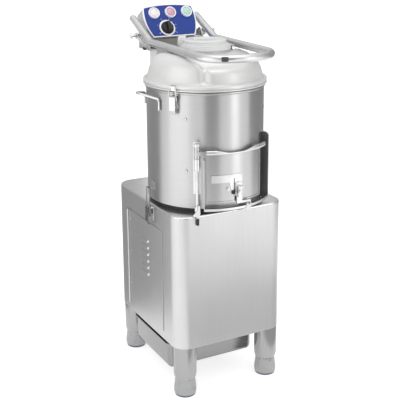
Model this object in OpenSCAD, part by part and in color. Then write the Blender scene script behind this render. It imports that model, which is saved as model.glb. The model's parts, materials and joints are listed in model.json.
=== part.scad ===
// Electric potato peeler on a pedestal, in millimetres, z up from the floor.
// A motor under the deck turns an abrasive disc in the barrel through a V-belt.
// Potatoes go in through the lid in the hood and come out through the front door.

/* [Pedestal] */
// Width of the pedestal
pedestal_width = 294; // [280:1:330]
// Depth of the pedestal
pedestal_depth = 356; // [350:1:390]
// Height of the deck above the floor
deck_height = 463; // [455:1:490]
// Height of the pedestal's underside above the floor
pedestal_clearance = 130; // [126:1:140]
// Radius of the vertical corners
corner_radius = 37; // [25:1:45]
// Thickness of the sheet
sheet = 2; // [1.5:0.1:2.5]

/* [Legs and feet] */
// Diameter of a leg tube
leg_diameter = 56.6; // [48:0.1:60]
// Leg axis to the side of the pedestal
leg_inset_x = 32; // [31:1:40]
// Leg axis to the front or the back of the pedestal
leg_inset_y = 30; // [30:1:34]
// Diameter of a foot where it is widest
foot_diameter = 56; // [46:0.5:60]
// Height of a foot below its leg
foot_height = 47; // [40:1:50]
// Diameter of the threaded stem of a foot
stem_diameter = 10; // [8:1:14]

/* [Side door] */
// Depth of the door in the left side
hatch_width = 196; // [160:1:200]
// Distance of the door's upper edge below the deck
hatch_drop = 53; // [53:1:80]
// Height of the door's lower edge above the pedestal's underside
hatch_rise = 20; // [15:1:40]
// Number of louvres
louvre_count = 6; // [3:1:8]
// Spacing of the louvres
louvre_pitch = 17.4; // [14:0.1:20]

/* [Peel tray] */
// Length of the tray along its slide
tray_length = 246; // [220:1:250]
// Distance from the pedestal's front and back to the tray's edges
tray_side_room = 70; // [68:1:84]
// Depth of the tray
tray_depth = 67; // [50:1:70]

/* [Barrel] */
// Outer diameter of the barrel
barrel_diameter = 285; // [280:1:290]
// Height of the barrel with its rolled rim
barrel_height = 276; // [272:1:300]
// Distance of the barrel's axis in front of the pedestal's middle
barrel_forward = 43; // [40:1:44]
// Height of the ring between deck and barrel
ring_height = 11; // [8:1:16]
// Diameter of the rolled rim's section
rim_thickness = 8; // [6:0.5:8]
// Diameter of the drain pipe
drain_diameter = 34; // [25:1:36]

/* [Disc and drive] */
// Diameter of the abrasive disc
disc_diameter = 264; // [250:1:268]
// Thickness of the abrasive disc
disc_thickness = 12; // [10:1:14]
// Diameter of the spindle
spindle_diameter = 25; // [20:1:28]
// Diameter of the large pulley
large_pulley_diameter = 150; // [130:1:152]
// Diameter of the motor pulley
small_pulley_diameter = 40; // [36:1:50]
// Distance between motor shaft and spindle
drive_centres = 150; // [148:1:152]
// Diameter of the motor
motor_diameter = 125; // [110:1:128]
// Distance of the motor above the pedestal's underside
motor_clearance = 46; // [30:1:60]

/* [Front outlet] */
// Outer radius of the outlet's side walls from the barrel's axis
outlet_radius = 160; // [158:0.5:164]
// Height of the front door's panel
door_height = 116; // [110:1:120]
// Diameter of the door's hinge pin
door_pin_diameter = 6; // [5:0.5:8]

/* [Hood and frame] */
// Diameter of the hood's flange
hood_diameter = 298; // [296:1:304]
// Height of the hood above the barrel's rim
hood_height = 75; // [70:1:76]
// Diameter of the feed opening
feed_diameter = 112; // [90:1:116]
// Diameter of the feed lid
feed_lid_diameter = 126; // [118:1:128]
// Height of the feed lid
feed_lid_height = 23; // [18:0.5:24]
// Diameter of the frame's tube
frame_tube = 19; // [16:0.5:20]
// Distance between the frame's two side tubes, between their axes
frame_width = 180; // [176:1:190]
// Reach of the frame's front in front of the barrel's axis
frame_reach = 202; // [198:1:215]

/* [Control box] */
// Angle by which the panel leans back
panel_lean = 31; // [20:1:40]
// Distance of the box behind the pedestal's middle
panel_back = 143; // [140:1:146]
// Height of the panel's middle above the deck
panel_rise = 421; // [419:1:440]
// Depth of the box
box_depth = 50; // [40:1:52]
// Diameter of a button
button_diameter = 22.4; // [16:0.2:24]
// Distance between two buttons
button_pitch = 46; // [38:1:48]
// Diameter of the timer knob
knob_diameter = 33; // [26:1:36]

/* [Hidden] */
$fn = 96;
free_gap = 0.3;
press = 0.05;
bore_gap = 0.05;

// Heights that follow from the driving sizes.
base = pedestal_clearance;
deck = deck_height;
barrel_r = barrel_diameter / 2;
barrel_in = barrel_r - sheet;
barrel_y = -barrel_forward;
barrel_z = deck + ring_height;
rim_r = rim_thickness / 2;
rim_z = barrel_z + barrel_height;
floor_z = barrel_z + 3;
side_x = pedestal_width / 2;
rear_y = pedestal_depth / 2;

// The frame's pivot and its tube.
tube_r = frame_tube / 2;
arm_x = frame_width / 2;
pivot_y = panel_back - 15;
pivot_z = rim_z + 99;
arm_z = rim_z + 84.2;
corner_bend = 62;
bow_radius = 130;

// The hood rests on a gasket that stands on the rolled rim.
gasket_z = rim_z + free_gap;
hood_z = rim_z + 0.6;
hood_top = rim_z + hood_height;
hood_r = hood_diameter / 2;
feed_r = feed_diameter / 2;
collar_z = hood_top + 5;
lid_z = collar_z + free_gap;
lid_pivot_x = feed_lid_diameter / 2 + 5.5;
lid_pivot_z = lid_z + 3.6;

// The control box and its panel.
panel_z = deck + panel_rise;
face_top = 41.5;
face_bottom = -49;
row_v = 17.5;
knob_u = -15;
knob_v = -24.5;
button_r = button_diameter / 2;
row_u = [4 - button_pitch, 4, 4 + button_pitch];

// The post behind the barrel and the yoke on top of it.
post_w = 60;
post_d = 40;
post_y = panel_back - 5;
yoke_z = panel_z - 72;
yoke_x = arm_x - 12;
pin_end = arm_x + 26;

// The outlet, as angles about the barrel's axis; minus 90 looks to the front.
outlet_a0 = -119.3;
outlet_a1 = -45;
door_a0 = -117.3;
door_a1 = -60;
door_in = barrel_r + 7.5;
door_out = door_in + 3;
door_z = barrel_z + 16;
door_top = door_z + door_height;
mouth_z0 = barrel_z + 22;
mouth_z1 = door_top - 8;
pin_a = -125.2;
pin_r = barrel_r + 15.4;
lip_r = outlet_radius - 3;

// The drive under the deck.
disc_z = floor_z + 5;
disc_r = disc_diameter / 2;
spindle_r = spindle_diameter / 2;
motor_y = barrel_y + drive_centres;
pulley_z = deck - 97;
pulley_w = 20;
mount_z = pulley_z - 24;
motor_length = mount_z - 6 - base - motor_clearance;
large_r = large_pulley_diameter / 2;
small_r = small_pulley_diameter / 2;
drain_r = drain_diameter / 2;
drain_x = -100;
flange_z = deck - sheet;

// The side door in the left wall and its hinge.
hatch_y0 = -hatch_width / 2;
hatch_z0 = base + hatch_rise;
hatch_height = deck - hatch_drop - hatch_z0;
hatch_x = -side_x - free_gap;
hatch_sheet = 1.5;
hinge_x = hatch_x - 3;
hinge_y = hatch_width / 2 + 3.4;

// The tray slides out to the left on two runners under the pedestal.
tray_x = -18;
tray_y = -4;
tray_width = pedestal_depth - 2 * tray_side_room;
tray_top = base - 14;
tray_z = tray_top - tray_depth;
lip_w = 4;

// Toggle latches: pivot height above the mount, width and lever length.
latch_w = 15;
latch_n = 9;
hood_latch_a = -147;
hood_latch_z = rim_z - 12;
base_latch_y = barrel_y + 3;
base_latch_z = deck - 8;

// Legs.
leg_r = leg_diameter / 2;
leg_x = side_x - leg_inset_x;
leg_y = rear_y - leg_inset_y;
stem_r = stem_diameter / 2;
foot_r = foot_diameter / 2;

// The middle of the whole object's depth lies over the origin.
front_end = barrel_y - frame_reach - tube_r;
back_end = panel_back + (face_top - 1.5) * sin(panel_lean) + box_depth * cos(panel_lean);
shift_y = -(front_end + back_end) / 2;

// Shared shapes.

module placed() {
    translate([0, shift_y, 0]) children();
}

module on_barrel(angle) {
    translate([0, barrel_y, 0]) rotate([0, 0, angle]) children();
}

module rounded_plate(w, d, r) {
    square([w - 2 * r, d], center = true);
    square([w, d - 2 * r], center = true);
    for (sx = [-1, 1], sy = [-1, 1])
        translate([sx * (w / 2 - r), sy * (d / 2 - r)]) circle(r);
}

module slab(w, d, r, z0, z1) {
    translate([0, 0, z0]) linear_extrude(z1 - z0) rounded_plate(w, d, r);
}

module disc(r, z0, z1) {
    translate([0, 0, z0]) cylinder(r = r, h = z1 - z0);
}

module ring(r_out, r_in, z0, z1) {
    translate([0, 0, z0]) linear_extrude(z1 - z0) difference() {
        circle(r_out);
        circle(r_in);
    }
}

// A sector from angle a0 to a1, as a flat polygon that reaches past radius r.
module sector(r, a0, a1) {
    far = r * 1.3;
    polygon(concat([[0, 0]],
        [for (i = [0 : 4]) far * [cos(a0 + (a1 - a0) * i / 4), sin(a0 + (a1 - a0) * i / 4)]]));
}

module arc_wall(r_in, r_out, a0, a1, z0, z1) {
    translate([0, 0, z0]) linear_extrude(z1 - z0) intersection() {
        difference() {
            circle(r_out);
            circle(r_in);
        }
        sector(r_out, a0, a1);
    }
}

// A round bar between two points.
module bar(p, q, r) {
    v = q - p;
    translate(p) rotate([0, acos(v[2] / norm(v)), atan2(v[1], v[0])])
        cylinder(r = r, h = norm(v), $fn = 32);
}

module joint_ball(p, r) {
    translate(p) sphere(r = r, $fn = 32);
}

// A cylinder along x from x0 to x1.
module rod_x(x0, x1, y, z, r) {
    translate([x0, y, z]) rotate([0, 90, 0]) cylinder(r = r, h = x1 - x0, $fn = 48);
}

// A cylinder along y from y0 to y1.
module rod_y(y0, y1, x, z, r) {
    translate([x, y0, z]) rotate([-90, 0, 0]) cylinder(r = r, h = y1 - y0, $fn = 48);
}

module fin_rows(count, r0, r1, t) {
    for (i = [0 : count - 1]) rotate([0, 0, i * 360 / count])
        translate([r0, -t / 2]) square([r1 - r0, t]);
}

// Pedestal.

module pedestal_shell() {
    color("silver") placed() difference() {
        slab(pedestal_width, pedestal_depth, corner_radius, base, deck);
        slab(pedestal_width - 2 * sheet, pedestal_depth - 2 * sheet,
            corner_radius - sheet, base - 1, deck - sheet);
        translate([0, barrel_y, 0]) disc(30 + press, deck - 5, deck + 1);
        translate([drain_x, barrel_y, 0]) disc(drain_r + 0.1, deck - 5, deck + 1);
        translate([0, post_y, 0]) disc(14, deck - 5, deck + 1);
        translate([-side_x - 1, hatch_y0 + 8, hatch_z0 + 8])
            cube([sheet + 2, hatch_width - 16, hatch_height - 16]);
        rod_y(rear_y - 5, rear_y + 1, -60, base + 70, 10.1);
    }
}

module base_plate() {
    color("silver") placed() difference() {
        slab(pedestal_width - 2 * sheet - 2 * press, pedestal_depth - 2 * sheet - 2 * press,
            corner_radius - sheet - press, base, base + 3);
        translate([drain_x, barrel_y, 0]) disc(drain_r + 0.1, base - 1, base + 5);
        for (i = [-3 : 3]) translate([i * 13, motor_y, base - 1])
            linear_extrude(6) square([5, 70], center = true);
    }
}

module at_legs() {
    for (sx = [-1, 1], sy = [-1, 1]) translate([sx * leg_x, sy * leg_y, 0]) children();
}

module leg_tubes() {
    color("gainsboro") placed() at_legs() {
        ring(leg_r, leg_r - 1.5, foot_height + 11, base - 3);
        disc(leg_r, base - 3, base);
        difference() {
            union() {
                translate([0, 0, foot_height]) cylinder(r1 = leg_r - 2, r2 = leg_r, h = 11);
                disc(leg_r - 1.5 - press, foot_height + 11, foot_height + 34);
            }
            disc(stem_r + bore_gap, foot_height - 1, foot_height + 40);
        }
    }
}

module foot(sx, sy) {
    color("dimgray") placed() translate([sx * leg_x, sy * leg_y, 0]) {
        rotate_extrude() polygon([[0, 0], [foot_r - 3, 0], [foot_r - 2, 1], [foot_r - 2, 4],
            [foot_r - 1, 6], [foot_r, 14], [foot_r - 0.6, 20], [foot_r - 2, 30],
            [foot_r - 3.2, foot_height - 2], [foot_r - 4, foot_height - free_gap],
            [stem_r, foot_height - free_gap], [stem_r, foot_height + 52],
            [stem_r - 1, foot_height + 53], [0, foot_height + 53]]);
    }
}

module foot_front_left() { foot(-1, -1); }
module foot_front_right() { foot(1, -1); }
module foot_rear_left() { foot(-1, 1); }
module foot_rear_right() { foot(1, 1); }

module louvre(y, z) {
    translate([hatch_x, y, z]) rotate([90, 0, 0]) linear_extrude(42, center = true)
        polygon([[0, -1], [0, 7], [-hatch_sheet, 7], [-hatch_sheet - 4, 0.5],
            [-hatch_sheet - 4, -1], [-hatch_sheet - 2.8, -1], [-hatch_sheet - 2.8, 0.2],
            [-hatch_sheet, 4.6], [-hatch_sheet, -1]]);
}

module hinge_knuckles(first) {
    step = hatch_height / 5;
    for (i = [first : 2 : 4]) translate([hinge_x, hinge_y, hatch_z0 + i * step + 0.2])
        cylinder(r = 3, h = step - 0.4, $fn = 48);
}

module access_door() {
    top = hatch_z0 + hatch_height;
    first = hatch_z0 + 120;
    color("silver") placed() difference() {
        union() {
            translate([hatch_x - hatch_sheet, hatch_y0, hatch_z0])
                cube([hatch_sheet, hatch_width, hatch_height]);
            difference() {
                hinge_knuckles(1);
                translate([hinge_x, hinge_y, hatch_z0 - 1])
                    cylinder(r = 1.3, h = hatch_height + 2, $fn = 48);
            }
            for (i = [1, 3]) translate([hinge_x + 1.5, hinge_y - 4.5,
                hatch_z0 + i * hatch_height / 5 + 0.2])
                cube([hatch_sheet, 2.4, hatch_height / 5 - 0.4]);
            for (i = [0 : louvre_count - 1])
                louvre(-1, min(first, top - 20 - (louvre_count - 1) * louvre_pitch)
                    + i * louvre_pitch);
            for (z = [60, 149, 235]) rotate([0, 0, 0])
                translate([hatch_x - hatch_sheet - 1.2, hatch_y0 + hatch_width - 8,
                    hatch_z0 + z * hatch_height / 260])
                rotate([0, 90, 0]) cylinder(r = 3, h = 1.3, $fn = 32);
        }
        for (i = [0 : louvre_count - 1])
            translate([hatch_x - hatch_sheet - 0.5, -19, min(first, top - 20
                - (louvre_count - 1) * louvre_pitch) + i * louvre_pitch])
            cube([hatch_sheet + 1, 36, 3]);
    }
}

module access_hinge() {
    color("gray") placed() {
        difference() {
            hinge_knuckles(0);
            translate([hinge_x, hinge_y, hatch_z0 - 1])
                cylinder(r = 1.2, h = hatch_height + 2, $fn = 48);
        }
        for (i = [0, 2, 4]) translate([-side_x - 1.5, hinge_y + 0.5,
            hatch_z0 + i * hatch_height / 5 + 0.2])
            difference() {
                cube([1.5, 12, hatch_height / 5 - 0.4]);
                translate([hinge_x + side_x + 1.5, -0.5, -1])
                    cylinder(r = 1.2, h = hatch_height, $fn = 48);
            }
        translate([hinge_x, hinge_y, hatch_z0])
            cylinder(r = 1.2, h = hatch_height, $fn = 48);
    }
}

module peel_tray() {
    color("silver") placed() translate([tray_x, tray_y, 0]) {
        difference() {
            slab(tray_length - 2 * lip_w, tray_width - 2 * lip_w, 16, tray_z, tray_top);
            slab(tray_length - 2 * lip_w - 3, tray_width - 2 * lip_w - 3, 14.5,
                tray_z + 1.5, tray_top + 1);
        }
        difference() {
            slab(tray_length, tray_width, 20, tray_top - 4, tray_top);
            slab(tray_length - 2 * lip_w, tray_width - 2 * lip_w, 16,
                tray_top - 5, tray_top + 1);
        }
    }
}

module tray_runners() {
    reach = tray_width / 2;
    rail = pedestal_width - 78;
    tab = 2 * (leg_x - leg_r) - 8;
    color("gray") placed() translate([0, tray_y, 0]) for (s = [0, 1]) mirror([0, s, 0])
        translate([35 - side_x, -reach - 2.5, 0]) {
            translate([0, 0, tray_top - 7]) cube([rail, 2, base - tray_top + 7]);
            translate([0, 2, tray_top - 7]) cube([rail, 3.2, 3 - free_gap]);
            translate([side_x - 35 - tab / 2, -8, base - 2]) cube([tab, 8, 2]);
        }
}

module cable_gland() {
    color("dimgray") placed() translate([-60, rear_y, base + 70]) rotate([-90, 0, 0])
        difference() {
            union() {
                translate([0, 0, -12]) cylinder(r = 10, h = 12);
                cylinder(r = 14, h = 5, $fn = 6);
                translate([0, 0, 5]) cylinder(r1 = 12, r2 = 9, h = 12);
            }
            translate([0, 0, -13]) cylinder(r = 5, h = 31);
        }
}

// Barrel.

module barrel_shell() {
    color("silver") placed() on_barrel(0) difference() {
        union() {
            ring(barrel_r, barrel_in, barrel_z, rim_z - rim_r);
            rotate_extrude() translate([barrel_r - 1, rim_z - rim_r]) circle(rim_r, $fn = 48);
        }
        arc_wall(barrel_in - 5, barrel_r + 5, door_a0 + 2.3, door_a1 - 2, mouth_z0, mouth_z1);
    }
}

module barrel_floor() {
    color("silver") placed() on_barrel(0) difference() {
        union() {
            disc(barrel_in - press, barrel_z, floor_z);
            ring(barrel_r - 6, barrel_r - 9, deck, barrel_z);
            disc(spindle_r + 8, floor_z, floor_z + 3);
        }
        disc(spindle_r + 0.5, barrel_z - 1, floor_z + 5);
        translate([drain_x, 0, 0]) disc(drain_r + 0.1, barrel_z - 1, floor_z + 1);
    }
}

module abrasive_liner() {
    color("dimgray") placed() on_barrel(0) difference() {
        union() {
            ring(barrel_in - press, barrel_in - 3, barrel_z + 38, rim_z - 18);
            translate([0, 0, barrel_z + 40]) linear_extrude(barrel_height - 62) difference() {
                fin_rows(24, barrel_in - 5, barrel_in - 1, 9);
                circle(barrel_in - 5);
            }
        }
        arc_wall(barrel_in - 9, barrel_r + 5, door_a0 + 2, door_a1 - 1.7,
            mouth_z0 - 1, mouth_z1 + 1);
    }
}

module drain_pipe() {
    color("gray") placed() translate([drain_x, barrel_y, 0])
        ring(drain_r, drain_r - 1.5, base - 10, floor_z - 0.5);
}

module bearing_housing() {
    color("slategray") placed() on_barrel(0) difference() {
        union() {
            disc(spindle_r + 20, flange_z - 61, flange_z - 6);
            disc(50, flange_z - 6, flange_z);
            disc(30, flange_z, barrel_z);
        }
        disc(spindle_r + 11.5, flange_z - 62, flange_z - 9);
        disc(spindle_r + 0.5, flange_z - 10, barrel_z + 1);
    }
}

module bearing(z) {
    r0 = spindle_r + bore_gap;
    r1 = spindle_r + 11.5 - press;
    translate([0, 0, z]) rotate_extrude() polygon([[r0, 0], [r0 + 3.4, 0], [r0 + 3.4, 1],
        [r1 - 3.4, 1], [r1 - 3.4, 0], [r1, 0], [r1, 15], [r1 - 3.4, 15], [r1 - 3.4, 14],
        [r0 + 3.4, 14], [r0 + 3.4, 15], [r0, 15]]);
}

module spindle_bearings() {
    color("gray") placed() on_barrel(0) {
        bearing(flange_z - 56);
        bearing(flange_z - 24.5);
    }
}

module spindle() {
    color("gray") placed() on_barrel(0) {
        disc(spindle_r, pulley_z - 6, disc_z);
        disc(spindle_r - 4.5, disc_z, disc_z + disc_thickness);
        translate([0, 0, disc_z + disc_thickness]) rotate_extrude()
            polygon([[0, 0], [spindle_r + 2, 0], [spindle_r + 2, 4], [spindle_r - 2, 10],
                [spindle_r - 8, 12], [0, 12]]);
    }
}

module abrasive_disc() {
    top = disc_z + disc_thickness;
    color("dimgray") placed() on_barrel(0) difference() {
        union() {
            disc(disc_r, disc_z, top);
            intersection() {
                for (a = [0 : 90 : 270]) rotate([0, 0, a]) translate([0, 0, top - 12])
                    rotate([0, 90, 0]) cylinder(r = 20, h = disc_r - 8);
                disc(disc_r - 6, top - 1, top + 10);
            }
        }
        disc(spindle_r - 4.5 + 0.02, disc_z - 1, top + 20);
        disc(spindle_r + 2.3, top, top + 20);
    }
}

module pulley(r, bore) {
    translate([0, 0, pulley_z]) rotate_extrude() polygon([[bore, 0], [r, 0], [r, 3.2],
        [r - 9, 5.6], [r - 9, 14.4], [r, 16.8], [r, pulley_w], [bore, pulley_w]]);
}

module driven_pulley() {
    color("slategray") placed() on_barrel(0) difference() {
        pulley(large_r, spindle_r + 0.02);
        for (a = [0 : 60 : 300]) rotate([0, 0, a])
            translate([(large_r + spindle_r) / 2 - 1, 0, pulley_z - 1])
            cylinder(r = (large_r - spindle_r) / 4 - 1, h = pulley_w + 2, $fn = 48);
    }
}

module motor_pulley() {
    color("slategray") placed() translate([0, motor_y, 0]) pulley(small_r, 9.52);
}

// The loop round two circles at the pulleys' centres.
module loop_round(r_big, r_small) {
    a = acos((r_big - r_small) / drive_centres);
    circle(r_big);
    translate([0, drive_centres]) circle(r_small);
    polygon([r_big * [sin(a), cos(a)], [0, drive_centres] + r_small * [sin(a), cos(a)],
        [0, drive_centres] + r_small * [-sin(a), cos(a)], r_big * [-sin(a), cos(a)]]);
}

module drive_belt() {
    color("black") placed() on_barrel(0) translate([0, 0, pulley_z + 6])
        linear_extrude(8) difference() {
            loop_round(large_r - 1.5, small_r - 1.5);
            loop_round(large_r - 8.6, small_r - 8.6);
        }
}

module motor_frame() {
    r = motor_diameter / 2;
    z1 = mount_z - 6;
    z0 = z1 - motor_length;
    color("steelblue") placed() translate([0, motor_y, 0]) difference() {
        union() {
            translate([0, 0, z0 + 24]) linear_extrude(motor_length - 38) {
                circle(r - 6);
                fin_rows(28, r - 8, r, 2.4);
            }
            disc(r, z0, z0 + 24);
            disc(r, z1 - 14, z1);
            disc(r + 5, z1, mount_z);
            translate([r - 8, -26, z0 + 60]) cube([18, 52, 56]);
        }
        disc(r * 0.58, z0 + 28, z1 - 18);
        disc(9.6, z0 + 20, mount_z + 1);
        disc(r - 4, z0 + 2.5, z0 + 21);
        for (i = [-3 : 3]) translate([i * 13, 0, z0 - 1]) linear_extrude(5)
            square([6, 2 * r * cos(i * 17) - 22], center = true);
    }
}

module motor_rotor() {
    r = motor_diameter / 2;
    z1 = mount_z - 6;
    z0 = z1 - motor_length;
    color("gray") placed() translate([0, motor_y, 0]) {
        disc(9.5, z0 + 5, pulley_z + pulley_w + 4);
        ring(r * 0.58 - 0.6, 9.5, z0 + 38, z1 - 28);
        translate([0, 0, z0 + 6]) linear_extrude(12) {
            circle(14);
            fin_rows(9, 8, r - 8, 2.4);
        }
    }
}

module motor_mount() {
    color("gray") placed() {
        translate([-72, motor_y - 65, mount_z]) difference() {
            cube([144, 130, 6]);
            translate([72, 65, -1]) cylinder(r = 14, h = 8);
            for (a = [45 : 90 : 315]) translate([72, 65, -1]) rotate([0, 0, a])
                translate([motor_diameter / 2, 0]) cylinder(r = 4, h = 8, $fn = 32);
        }
        for (s = [0, 1]) mirror([s, 0, 0]) {
            translate([68, motor_y - 65, mount_z + 6]) cube([4, 130, flange_z - mount_z - 6]);
            translate([72, motor_y - 65, flange_z - 4]) cube([16, 130, 4]);
        }
    }
}

// Outlet at the front of the barrel.

module discharge_chute() {
    z0 = barrel_z - 3;
    wall_top = door_top + 31;
    color("gainsboro") placed() on_barrel(0) {
        arc_wall(barrel_r, lip_r, outlet_a0 - 0.2, outlet_a1 + 0.2, z0, z0 + 1.5);
        arc_wall(lip_r - 1.5, lip_r, outlet_a0 - 0.2, outlet_a1 + 0.2, z0 + 1.5, z0 + 6);
        rotate([0, 0, outlet_a0]) translate([barrel_r, -0.8, z0 + 1.5])
            difference() {
                cube([outlet_radius - barrel_r, 1.6, door_z + 105 - z0 - 1.5]);
                translate([lip_r - barrel_r - 1.5, -1, -1]) cube([1.5, 4, 5.5]);
            }
        rotate([0, 0, outlet_a1]) translate([barrel_r, 0, 0]) rotate([90, 0, 0])
            linear_extrude(1.6, center = true) difference() {
                translate([0, z0 + 1.5]) square([outlet_radius - barrel_r, wall_top - z0 - 1.5]);
                translate([lip_r - barrel_r - 1.5, z0]) square([1.5, 6]);
                difference() {
                    translate([outlet_radius - barrel_r - 12, wall_top - 12]) square([13, 13]);
                    translate([outlet_radius - barrel_r - 12, wall_top - 12]) circle(12);
                }
            }
        // Strike bracket under the door's latch.
        rotate([0, 0, -78]) translate([lip_r - 0.3, -7, z0 - 8]) cube([1.8, 14, 21]);
        rotate([0, 0, -78]) translate([lip_r + 1.2, 0, z0 + 10]) rotate([0, 90, 0])
            cylinder(r = 2.5, h = 9, $fn = 32);
    }
}

module door_hinge() {
    color("gainsboro") placed() on_barrel(pin_a) {
        // Plate on the barrel, then the three eyes that hold the pin.
        rotate([0, 0, -pin_a]) arc_wall(barrel_r, barrel_r + 1.8, -129.5, -122.5,
            barrel_z + 36, barrel_z + 161);
        for (z = [[-2, 10], [96, 123.6], [152.4, 160]])
            translate([0, 0, barrel_z + z[0]]) linear_extrude(z[1] - z[0]) difference() {
                union() {
                    intersection() {
                        translate([barrel_r - 5, -3]) square([pin_r - barrel_r + 5, 6]);
                        difference() {
                            circle(barrel_r + 20);
                            circle(barrel_r + (z[0] < 0 ? 0 : 1.2));
                        }
                    }
                    translate([pin_r, 0]) circle(6.5, $fn = 48);
                }
                translate([pin_r, 0]) circle(door_pin_diameter / 2 + 0.01, $fn = 48);
            }
        translate([pin_r, 0, deck]) cylinder(r = door_pin_diameter / 2,
            h = barrel_z - deck + 161, $fn = 48);
        translate([pin_r, 0, deck]) cylinder(r = 5.5, h = 7, $fn = 48);
    }
}

module discharge_door() {
    bar_z = door_top;
    knuckle_z = barrel_z + 124;
    color("silver") placed() on_barrel(0) {
        arc_wall(door_in, door_in + 1.5, door_a0, door_a1, door_z, door_top);
        // Returns round the panel's edges.
        arc_wall(door_in + 1.5, door_out, door_a0, door_a0 + 1.2, door_z, door_top);
        arc_wall(door_in + 1.5, door_out, door_a1 - 1.2, door_a1, door_z, door_top);
        arc_wall(door_in + 1.5, door_out, door_a0 + 1.2, door_a1 - 1.2, door_z, door_z + 3);
        // Rolled top edge and the arm to the pin.
        arc_wall(door_in, door_in + 8, door_a0, -52, bar_z, bar_z + 11);
        rotate([0, 0, pin_a]) translate([pin_r, 0, 0]) difference() {
            union() {
                translate([0, 0, knuckle_z]) cylinder(r = 7, h = 28, $fn = 48);
                translate([0, 0, bar_z]) intersection() {
                    linear_extrude(11) polygon([[-7, 0], [-5, 21.5], [6, 21.5], [7, 0]]);
                    translate([-pin_r, 0, -1]) rotate([0, 0, 0]) cylinder(r = door_in + 12, h = 13);
                }
            }
            translate([0, 0, knuckle_z - 1])
                cylinder(r = door_pin_diameter / 2 + bore_gap, h = 40, $fn = 48);
        }
        // Strap across the door and the base plate of the latch.
        arc_wall(door_in + 1.5, door_out, -113, -84, door_z + 48, door_z + 66);
        rotate([0, 0, -88]) translate([door_in + 0.8, -9, door_z + 12])
            cube([3.9, 18, 34]);
        rotate([0, 0, -88]) translate([door_in + 4, 0, door_z + 26]) rotate([0, 90, 0])
            cylinder(r = 3, h = 8.7, $fn = 32);
        rotate([0, 0, -97.7]) translate([door_in + 0.8, 0, door_z + 31]) rotate([0, 90, 0])
            cylinder(r = 4, h = 6.7, $fn = 32);
    }
}

module door_liner() {
    color("dimgray") placed() on_barrel(0)
        arc_wall(barrel_r + free_gap, door_in, door_a0 + 1, door_a1 - 0.8,
            mouth_z0 - 4, mouth_z1 + 4);
}

module door_latch_lever() {
    n0 = door_in + 4.7 + free_gap;
    color("gainsboro") placed() on_barrel(0) rotate([0, 0, -88]) translate([0, 0, door_z + 26])
        difference() {
            union() {
                translate([n0, -7, -30]) cube([4, 14, 42]);
                translate([n0, -7, 8]) cube([10, 14, 4]);
                translate([n0, 5, -30]) cube([4, 26, 5]);
                translate([n0 + 4, -7, -14]) cube([6, 1.5, 22]);
            }
            translate([n0 - 1, 0, 0]) rotate([0, 90, 0])
                cylinder(r = 3 + bore_gap, h = 12, $fn = 48);
        }
}

// The balls that close a bail's bends just reach the barrel.
bail_ball = 4;

function bail_point(a, r, z) = [r * cos(a), barrel_y + r * sin(a), rim_z + z];

module bail_leg(a, tip) {
    foot = bail_point(a, barrel_r + bail_ball + 0.01, -50);
    knee = bail_point(a, barrel_r + bail_ball + 0.01, -24);
    bar(foot, knee, 3);
    bar(knee, tip, 3);
    joint_ball(knee, bail_ball);
    joint_ball(tip, bail_ball);
}

module bail(a0, a1, am) {
    tip0 = bail_point(am - 2.6, barrel_r + 30, -14);
    tip1 = bail_point(am + 2.6, barrel_r + 30, -14);
    bail_leg(a0, tip0);
    bail_leg(a1, tip1);
    bar(tip0, tip1, 3);
}

module barrel_bails() {
    color("gray") placed() {
        bail(-204, -165.3, -184.6);
        mirror([1, 0, 0]) bail(-204, -165.3, -184.6);
    }
}

// Toggle latches. In their own frame x points away from the mount and z up.

module latch_plate(pz) {
    translate([0, -11, pz - 34]) cube([1.5, 22, 37]);
    for (s = [-1, 1]) {
        translate([1.5, s * 5.1 - 0.6, pz - 3]) cube([latch_n - 1.5, 1.2, 5.2]);
        translate([latch_n, s * 5.1 - 0.6, pz]) rotate([-90, 0, 0])
            cylinder(r = 3, h = 1.2, $fn = 32);
    }
    rod_y(-latch_w / 2, latch_w / 2, latch_n, pz, 1.5);
}

module latch_lever(pz, length) {
    difference() {
        union() {
            translate([latch_n + 3.3, -latch_w / 2, pz - length])
                cube([1.2, latch_w, length]);
            for (s = [-1, 1]) {
                translate([latch_n - 3.5, s * (latch_w / 2 - 0.6) - 0.6, pz - length + 12])
                    cube([7, 1.2, length - 12]);
                translate([latch_n, s * (latch_w / 2 - 0.6) - 0.6, pz]) rotate([-90, 0, 0])
                    cylinder(r = 3.5, h = 1.2, $fn = 32);
            }
            translate([latch_n + 3.3, -latch_w / 2, pz - length]) rotate([0, 30, 0])
                translate([0, 0, -10]) cube([1.2, latch_w, 10.4]);
        }
        rod_y(-latch_w, latch_w, latch_n, pz, 1.5 + bore_gap);
        rod_y(-latch_w, latch_w, latch_n + 0.6, pz - 9, 1.3);
    }
}

module latch_wire(pz, top_n, top_z) {
    y = latch_w / 2 + 1.6;
    for (s = [-1, 1]) {
        bar([latch_n + 0.6, s * y, pz - 9], [top_n, s * y, top_z], 1.2);
        joint_ball([latch_n + 0.6, s * y, pz - 9], 1.35);
        joint_ball([top_n, s * y, top_z], 1.35);
    }
    rod_y(-y, y, top_n, top_z, 1.2);
    for (s = [-1, 1]) translate([latch_n + 0.6, s * y, pz - 9]) rotate([s * 90, 0, 0])
        cylinder(r = 1.2, h = y - latch_w / 2 + 1.4, $fn = 48);
}

module at_hood_latch() {
    on_barrel(hood_latch_a) translate([barrel_r, 0, 0]) children();
}

module at_base_latch(side) {
    translate([side * side_x, base_latch_y, 0]) rotate([0, 0, side < 0 ? 180 : 0]) children();
}

hood_wire_n = hood_r - barrel_r + 8;
hood_wire_z = rim_z + 13;
base_wire_n = 7.2;
base_wire_z = deck + 42;

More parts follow.
